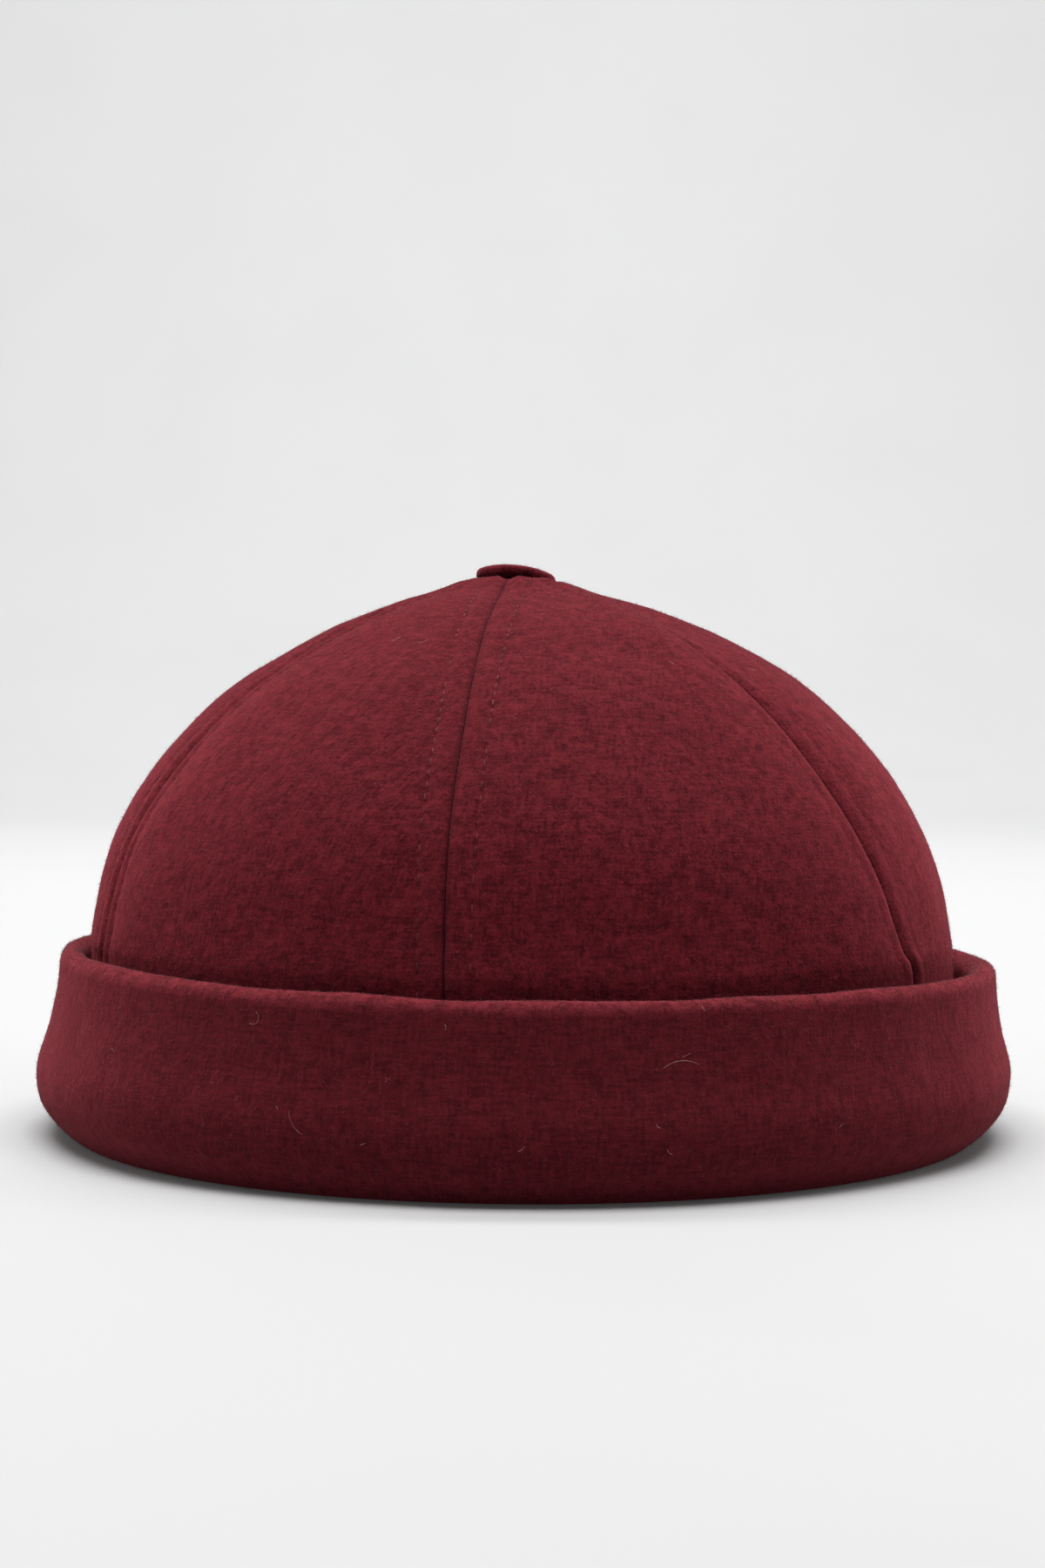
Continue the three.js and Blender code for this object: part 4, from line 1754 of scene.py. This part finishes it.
@dataclass
class Button:
    """The covered button on the apex: felt pulled over a domed disc and gathered below it."""

    radius: float = 8.8 * MM
    thickness: float = 4.1 * MM
    shift: float = -0.4 * MM
    settled: float = 0.2 * MM
    tilt_deg: float = 5.0
    droop: float = 1.2 * MM
    segments: int = 96
    section_stops: int = 60
    pleats: int = 11
    pleat_depth: float = 0.16 * MM
    pleated_height: float = 0.7
    pleated_radius: float = 0.5
    relief_scale: float = 1.7
    relief_share: float = 0.5
    # painted shade on the button's underside: below this share of its thickness, blended over this share, at
    # most this dark
    painted_shade_share: float = 0.55
    painted_shade_blend: float = 0.1
    darkest: float = 0.65
    bare_height: float = 0.1
    nap_seed: int = 300
    outline: tuple[tuple[float, float], ...] = (
        (0.02, 0.1), (0.3, 0.08), (0.52, 0.07), (0.66, 0.1), (0.76, 0.2), (0.85, 0.34),
        (0.93, 0.42), (0.985, 0.52), (1.0, 0.64), (0.995, 0.78), (0.955, 0.9),
        (0.86, 0.97), (0.68, 1.01), (0.42, 1.03), (0.15, 1.04), (0.0, 1.04),
    )

    def section(self) -> np.ndarray:
        """Draws the button's outline.

        Returns:
            Radius and height along it, from its middle below to its middle above.
        """
        rows = np.array(self.outline)
        fine = smooth_rows(rows, np.linspace(0, len(rows) - 1, self.section_stops))
        fine[:, 0] = np.clip(fine[:, 0], 0, None)
        return fine * [self.radius, self.thickness]

    def grid(self, section: np.ndarray) -> np.ndarray:
        """Shapes the button where the frame has it.

        Args:
            section: Radius and height along its outline.

        Returns:
            Its surface as rows and columns of points.
        """
        azimuth = np.linspace(0, FULL_TURN, self.segments, endpoint=False)
        radius, z = section[:, :1], section[:, 1:]
        under = np.clip(1 - z / (self.pleated_height * self.thickness), 0, 1)
        under = under * (radius > self.pleated_radius * self.radius)
        ripple = self.pleat_depth * np.cos(self.pleats * azimuth) * under
        x = (radius + ripple) * np.sin(azimuth)
        y = -(radius + ripple) * np.cos(azimuth)
        grid = np.stack([x, y, z - self.droop * (x / self.radius) ** 2], -1)
        relief = cloth_relief(grid * self.relief_scale)[..., None]
        grid = grid + unit(grid - [0, 0, self.thickness / 2]) * relief * self.relief_share
        turn = np.array(Matrix.Rotation(math.radians(self.tilt_deg), 3, "Y"))
        lean = math.sin(math.radians(self.tilt_deg)) * self.radius
        low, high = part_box("crown_button")
        middle = (low + high) / 2
        foot = high.z - self.thickness - lean / 2 - self.settled
        return grid @ turn.T + np.array([middle.x + self.shift, middle.y, foot])

    def mesh(self, grid: np.ndarray, height: np.ndarray) -> bpy.types.Mesh:
        """Makes the button's mesh, with painted shade on its underside.

        Args:
            grid: Its surface as rows and columns of points.
            height: Height of each row above the button's foot.

        Returns:
            The mesh.
        """
        wall = grid[1:-1]
        points = np.vstack([wall.reshape(-1, 3), grid[0].mean(0), grid[-1].mean(0)])
        count = wall.shape[0] * self.segments
        index = np.arange(count).reshape(-1, self.segments)
        polygons = grid_quads(np.hstack([index, index[:, :1]]))
        for k in range(self.segments):
            after = (k + 1) % self.segments
            polygons.append((int(index[0, after]), int(index[0, k]), count))
            polygons.append((int(index[-1, k]), int(index[-1, after]), count + 1))
        mesh = polygon_mesh("felt_button", points, polygons)
        # painted shade on the lower wall and the bottom middle, where the underside lies in shade
        dark = (self.painted_shade_share * self.thickness - height[1:-1]) / (self.painted_shade_blend * self.thickness)
        dark = np.broadcast_to(np.clip(dark, 0, self.darkest), wall.shape[:2])
        set_point_value(mesh, PointValue.CREASE, np.concatenate([dark.ravel(), [self.darkest, 0.0]]))
        set_cloth_map(mesh, points[:, :2])
        return mesh

    def build(self, felt: bpy.types.Material, nap: Nap, fuzz: bpy.types.Material) -> None:
        """Builds the button and its nap.

        Args:
            felt: The button's material.
            nap: Its nap.
            fuzz: The nap's material.
        """
        section = self.section()
        grid = self.grid(section)
        mesh = self.mesh(grid, section[:, 1:])
        piece = add_piece("felt_button", mesh, felt)
        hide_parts("crown_button")
        LOG.info("felt_button: %d polygons", len(mesh.polygons))
        closed = np.concatenate([grid, grid[:, :1]], axis=1)
        above = section[:, 1] > self.bare_height * self.thickness
        nap.build("button_nap", closed[above], self.nap_seed, fuzz)


@dataclass(frozen=True)
class Strand:
    """A pale fibre: its place, its length, its angle from level and how far it curls, in radians."""

    azimuth_deg: float
    height: float
    length: float
    angle_deg: float
    curl: float


@dataclass
class Lint:
    """Pale curled fibres that lie on the felt, as wool cloth gathers them."""

    strands: tuple[Strand, ...] = (
        Strand(-28.5, 32.6 * MM, 4.2 * MM, 60, 3.4),
        Strand(-8.0, 32.6 * MM, 1.3 * MM, 100, 2.0),
        Strand(-13.5, 22.9 * MM, 1.2 * MM, 90, 2.5),
        Strand(-25.2, 17.0 * MM, 1.2 * MM, 120, 2.0),
        Strand(-23.5, 14.4 * MM, 5.5 * MM, -55, 1.2),
        Strand(-15.8, 11.3 * MM, 1.4 * MM, 20, 0.3),
        Strand(16.5, 27.6 * MM, 2.0 * MM, 25, 0.3),
        Strand(15.8, 26.8 * MM, 7.5 * MM, 5, -1.2),
        Strand(14.8, 10.4 * MM, 1.6 * MM, -45, 0.8),
        Strand(19.0, 36.0 * MM, 1.1 * MM, -60, 1.0),
        Strand(27.2, 37.0 * MM, 2.0 * MM, 110, 1.2),
        Strand(31.5, 100.1 * MM, 2.2 * MM, -50, 1.2),
        Strand(-32.8, 104.6 * MM, 2.2 * MM, 60, 1.5),
    )
    scattered: int = 34
    seed: int = 400
    lowest: float = 8 * MM
    highest: float = 108 * MM
    shortest: float = 0.9 * MM
    longest: float = 2.4 * MM
    most_curled: float = 2.4
    thickness: float = 0.05 * MM
    taper: float = 0.6
    lift: float = 0.12 * MM
    raised_ends: float = 0.3 * MM
    reach: float = 1.5 * MM
    look_round: int = 2
    stops: int = 11
    sides: int = 4

    def chance_strands(self) -> list[Strand]:
        """Scatters strands all round the cap.

        Returns:
            The strands.
        """
        rng = np.random.default_rng(self.seed)
        strands = []
        for _ in range(self.scattered):
            height = rng.uniform(self.lowest, self.highest)
            length = rng.uniform(self.shortest, self.longest)
            azimuth = rng.uniform(-180, 180)
            angle = rng.uniform(0, 180)
            curl = rng.uniform(-self.most_curled, self.most_curled)
            strands.append(Strand(azimuth, height, length, angle, curl))
        return strands

    def place(self, face: np.ndarray, strand: Strand) -> tuple[float, np.ndarray, np.ndarray]:
        """Finds a strand's place on a face.

        Args:
            face: The face, as rows and columns of points.
            strand: The strand.

        Returns:
            How far its place is from the face, the face's nearest point, and the way out of the cloth.
        """
        turn = np.arctan2(face[..., 0], -face[..., 1]) - math.radians(strand.azimuth_deg)
        turn = (turn + math.pi) % FULL_TURN - math.pi
        away = np.abs(turn) * np.hypot(face[..., 0], face[..., 1]) + np.abs(face[..., 2] - strand.height)
        row, column = np.unravel_index(away.argmin(), away.shape)
        rows = np.clip([row - self.look_round, row + self.look_round], 0, away.shape[0] - 1)
        columns = np.clip([column - self.look_round, column + self.look_round], 0, away.shape[1] - 1)
        across = face[row, columns[1]] - face[row, columns[0]]
        point = face[row, column]
        out = unit(np.cross(across, face[rows[1], column] - face[rows[0], column]))
        return float(away.min()), point, out * np.sign((out * (point - HEAD_MIDDLE)).sum())

    def line(self, strand: Strand, point: np.ndarray, out: np.ndarray) -> np.ndarray:
        """Draws a strand that lies on the cloth.

        Args:
            strand: The strand.
            point: The point on which its middle lies.
            out: Unit vector out of the cloth there.

        Returns:
            Points along it.
        """
        level = unit(np.cross([0.0, 0.0, 1.0], out))
        angle = math.radians(strand.angle_deg)
        way = math.cos(angle) * level + math.sin(angle) * np.cross(out, level)
        side = np.cross(out, way)
        along = np.linspace(-0.5, 0.5, self.stops)[:, None]
        ahead = strand.length * np.sin(strand.curl * along) / strand.curl
        aside = strand.length * (1 - np.cos(strand.curl * along)) / strand.curl
        lift = self.lift + self.raised_ends * along**2
        return point + way * ahead + side * aside + out * lift

    def build(self, faces: list[np.ndarray], finish: bpy.types.Material) -> None:
        """Lays each strand on the first face that has its place.

        Args:
            faces: The cap's faces, each as rows and columns of points.
            finish: The strands' material.
        """
        lines = []
        outs = []
        for strand in [*self.strands, *self.chance_strands()]:
            for face in faces:
                away, point, out = self.place(face, strand)
                if away < self.reach:
                    lines.append(self.line(strand, point, out))
                    outs.append(np.broadcast_to(out, lines[-1].shape))
                    break
        radius = self.thickness / 2 * (1 - self.taper * np.abs(np.linspace(-1, 1, self.stops)) ** 4)
        vertices, triangles = tubes(np.stack(lines), np.stack(outs), radius, self.sides)
        add_piece("loose_fibres", triangle_mesh("loose_fibres", vertices, triangles), finish)
        LOG.info("loose_fibres: %d fibres", len(lines))


@dataclass(frozen=True)
class Softbox:
    """A soft rectangular light: its place, the place it looks at, its size and its power in watts."""

    name: str
    place: Place
    target: Place
    size: tuple[float, float]
    power: float

    def build(self) -> None:
        """Adds the light to the scene."""
        data = bpy.data.lights.new(self.name, "AREA")
        data.shape = "RECTANGLE"
        data.size, data.size_y = self.size
        data.energy = self.power
        lamp = bpy.data.objects.new(self.name, data)
        lamp.location = self.place
        aim = Vector(self.target) - lamp.location
        lamp.rotation_euler = aim.to_track_quat("-Z", "Y").to_euler()
        bpy.context.scene.collection.objects.link(lamp)


CAP_MIDDLE = (0.0, 0.0, 60 * MM)


@dataclass
class Studio:
    """A pale sweep of paper, soft lights and the camera at the photograph's angle."""

    distance: float = 0.6
    eye_height: float = 0.091
    focal_px: float = 3153.0
    frame_height_px: float = 1800.0
    horizon_px: float = 812.6
    axis_px: float = 601.7
    frame_middle_px: float = 600.0
    roll: float = 0.0059
    sensor_mm: float = 36.0
    nearest_seen: float = 0.05
    floor_reach: float = 4.0
    sweep_start: float = 1.6
    sweep_radius: float = 1.0
    sweep_stops: int = 13
    room_strength: float = 0.42
    dim_strength: float = 0.06
    dim_before: float = -0.7
    full_behind: float = 0.3
    lights: tuple[Softbox, ...] = (
        Softbox("top_light", (0.0, -0.28, 1.6), CAP_MIDDLE, (1.5, 0.9), 34.0),
        Softbox("left_light", (-1.5, 0.1, 0.6), CAP_MIDDLE, (0.9, 0.9), 1.8),
        Softbox("right_light", (1.5, 0.1, 0.6), CAP_MIDDLE, (0.9, 0.9), 1.8),
        Softbox("wall_light", (0.0, 0.8, 2.2), (0.0, 2.6, 0.3), (3.0, 0.8), 88.0),
    )

    def camera(self) -> None:
        """Places the camera."""
        data = bpy.data.cameras.new("camera")
        data.sensor_width = self.sensor_mm
        data.lens = self.focal_px / self.frame_height_px * data.sensor_width
        data.clip_start = self.nearest_seen
        camera = bpy.data.objects.new("camera", data)
        bpy.context.scene.collection.objects.link(camera)
        pitch = math.atan((self.frame_height_px / 2 - self.horizon_px) / self.focal_px)
        yaw = math.atan((self.axis_px - self.frame_middle_px) / self.focal_px)
        turn = Matrix.Rotation(yaw, 4, "Z") @ Matrix.Rotation(math.pi / 2 - pitch, 4, "X")
        turn = turn @ Matrix.Rotation(self.roll, 4, "Z")
        camera.matrix_world = Matrix.Translation((0, -self.distance, self.eye_height)) @ turn
        bpy.context.scene.camera = camera

    def sweep(self) -> None:
        """Builds the paper sweep: a floor that curves up into a wall far behind the cap."""
        turn = np.radians(np.linspace(0, 90, self.sweep_stops))
        curve_y = self.sweep_start + self.sweep_radius * np.sin(turn)
        curve_z = self.sweep_radius * (1 - np.cos(turn))
        y = np.concatenate([[-self.floor_reach], curve_y, curve_y[-1:]])
        z = np.concatenate([[0.0], curve_z, [self.floor_reach]])
        x = np.broadcast_to([-self.floor_reach, self.floor_reach], (len(y), 2))
        grid = np.stack([x, *(np.repeat(v[:, None], 2, 1) for v in (y, z))], -1)
        index = np.arange(grid[..., 0].size).reshape(-1, 2)
        mesh = bpy.data.meshes.new("paper_sweep")
        mesh.from_pydata(grid.reshape(-1, 3).tolist(), [], grid_quads(index))
        place_mesh("paper_sweep", mesh, PaperFinish().material())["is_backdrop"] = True

    def surroundings(self) -> None:
        """Makes the room: pale above, behind and at the sides, dim on the camera's side."""
        world = bpy.data.worlds.new("surroundings")
        world.use_nodes = True
        sheet = NodeSheet(world.node_tree)
        background = world.node_tree.nodes["Background"]
        background.inputs["Color"].default_value = WHITE
        way = sheet.add("SeparateXYZ")
        sheet.feed(way.inputs[0], sheet.add("TexCoord").outputs["Generated"])
        strength = sheet.add(
            "MapRange",
            interpolation_type="SMOOTHSTEP",
            From_Min=self.dim_before,
            From_Max=self.full_behind,
            To_Min=self.dim_strength,
            To_Max=self.room_strength,
        )
        sheet.feed(strength.inputs["Value"], way.outputs["Y"])
        sheet.feed(background.inputs["Strength"], strength.outputs["Result"])
        bpy.context.scene.world = world

    def build(self) -> None:
        """Sets up the paper, the lights, the surroundings and the camera."""
        self.sweep()
        for light in self.lights:
            light.build()
        self.surroundings()
        bpy.context.scene.view_settings.view_transform = "Standard"
        self.camera()
        LOG.info("studio: %d lights, camera %.0f mm away", len(self.lights), self.distance / MM)


def write_sizes(before: tuple[Vector, Vector], after: tuple[Vector, Vector]) -> None:
    """Logs how the dressed cap's box differs from the frame's box.

    Args:
        before: Lowest and highest corner of the frame.
        after: Lowest and highest corner of the dressed cap.
    """
    grown = [(b - a) / MM for a, b in zip([*before[0], *before[1]], [*after[0], *after[1]])]
    LOG.info("box differs by %s mm", " ".join(f"{value:+.2f}" for value in grown))


def main() -> None:
    """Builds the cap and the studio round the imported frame."""
    logging.basicConfig(level=logging.INFO, format="%(name)s: %(message)s", stream=sys.stdout)
    felt = PANEL_FELT.material()
    fuzz = FELT_NAP.material()
    nap = Nap()
    shape = CrownShape()
    crown = Crown(shape)
    panel_faces = crown.build(felt, nap, fuzz)
    crown.topstitch(SEWING_THREAD.material())
    cuff_face = Cuff(CuffShape(shape)).build(CUFF_FELT.material(), nap, fuzz)
    Button().build(felt, nap, fuzz)
    Lint().build([cuff_face, *panel_faces], PALE_LINT.material())
    Studio().build()
    write_sizes(CAD_BOX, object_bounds())


if __name__ == "__main__":
    main()
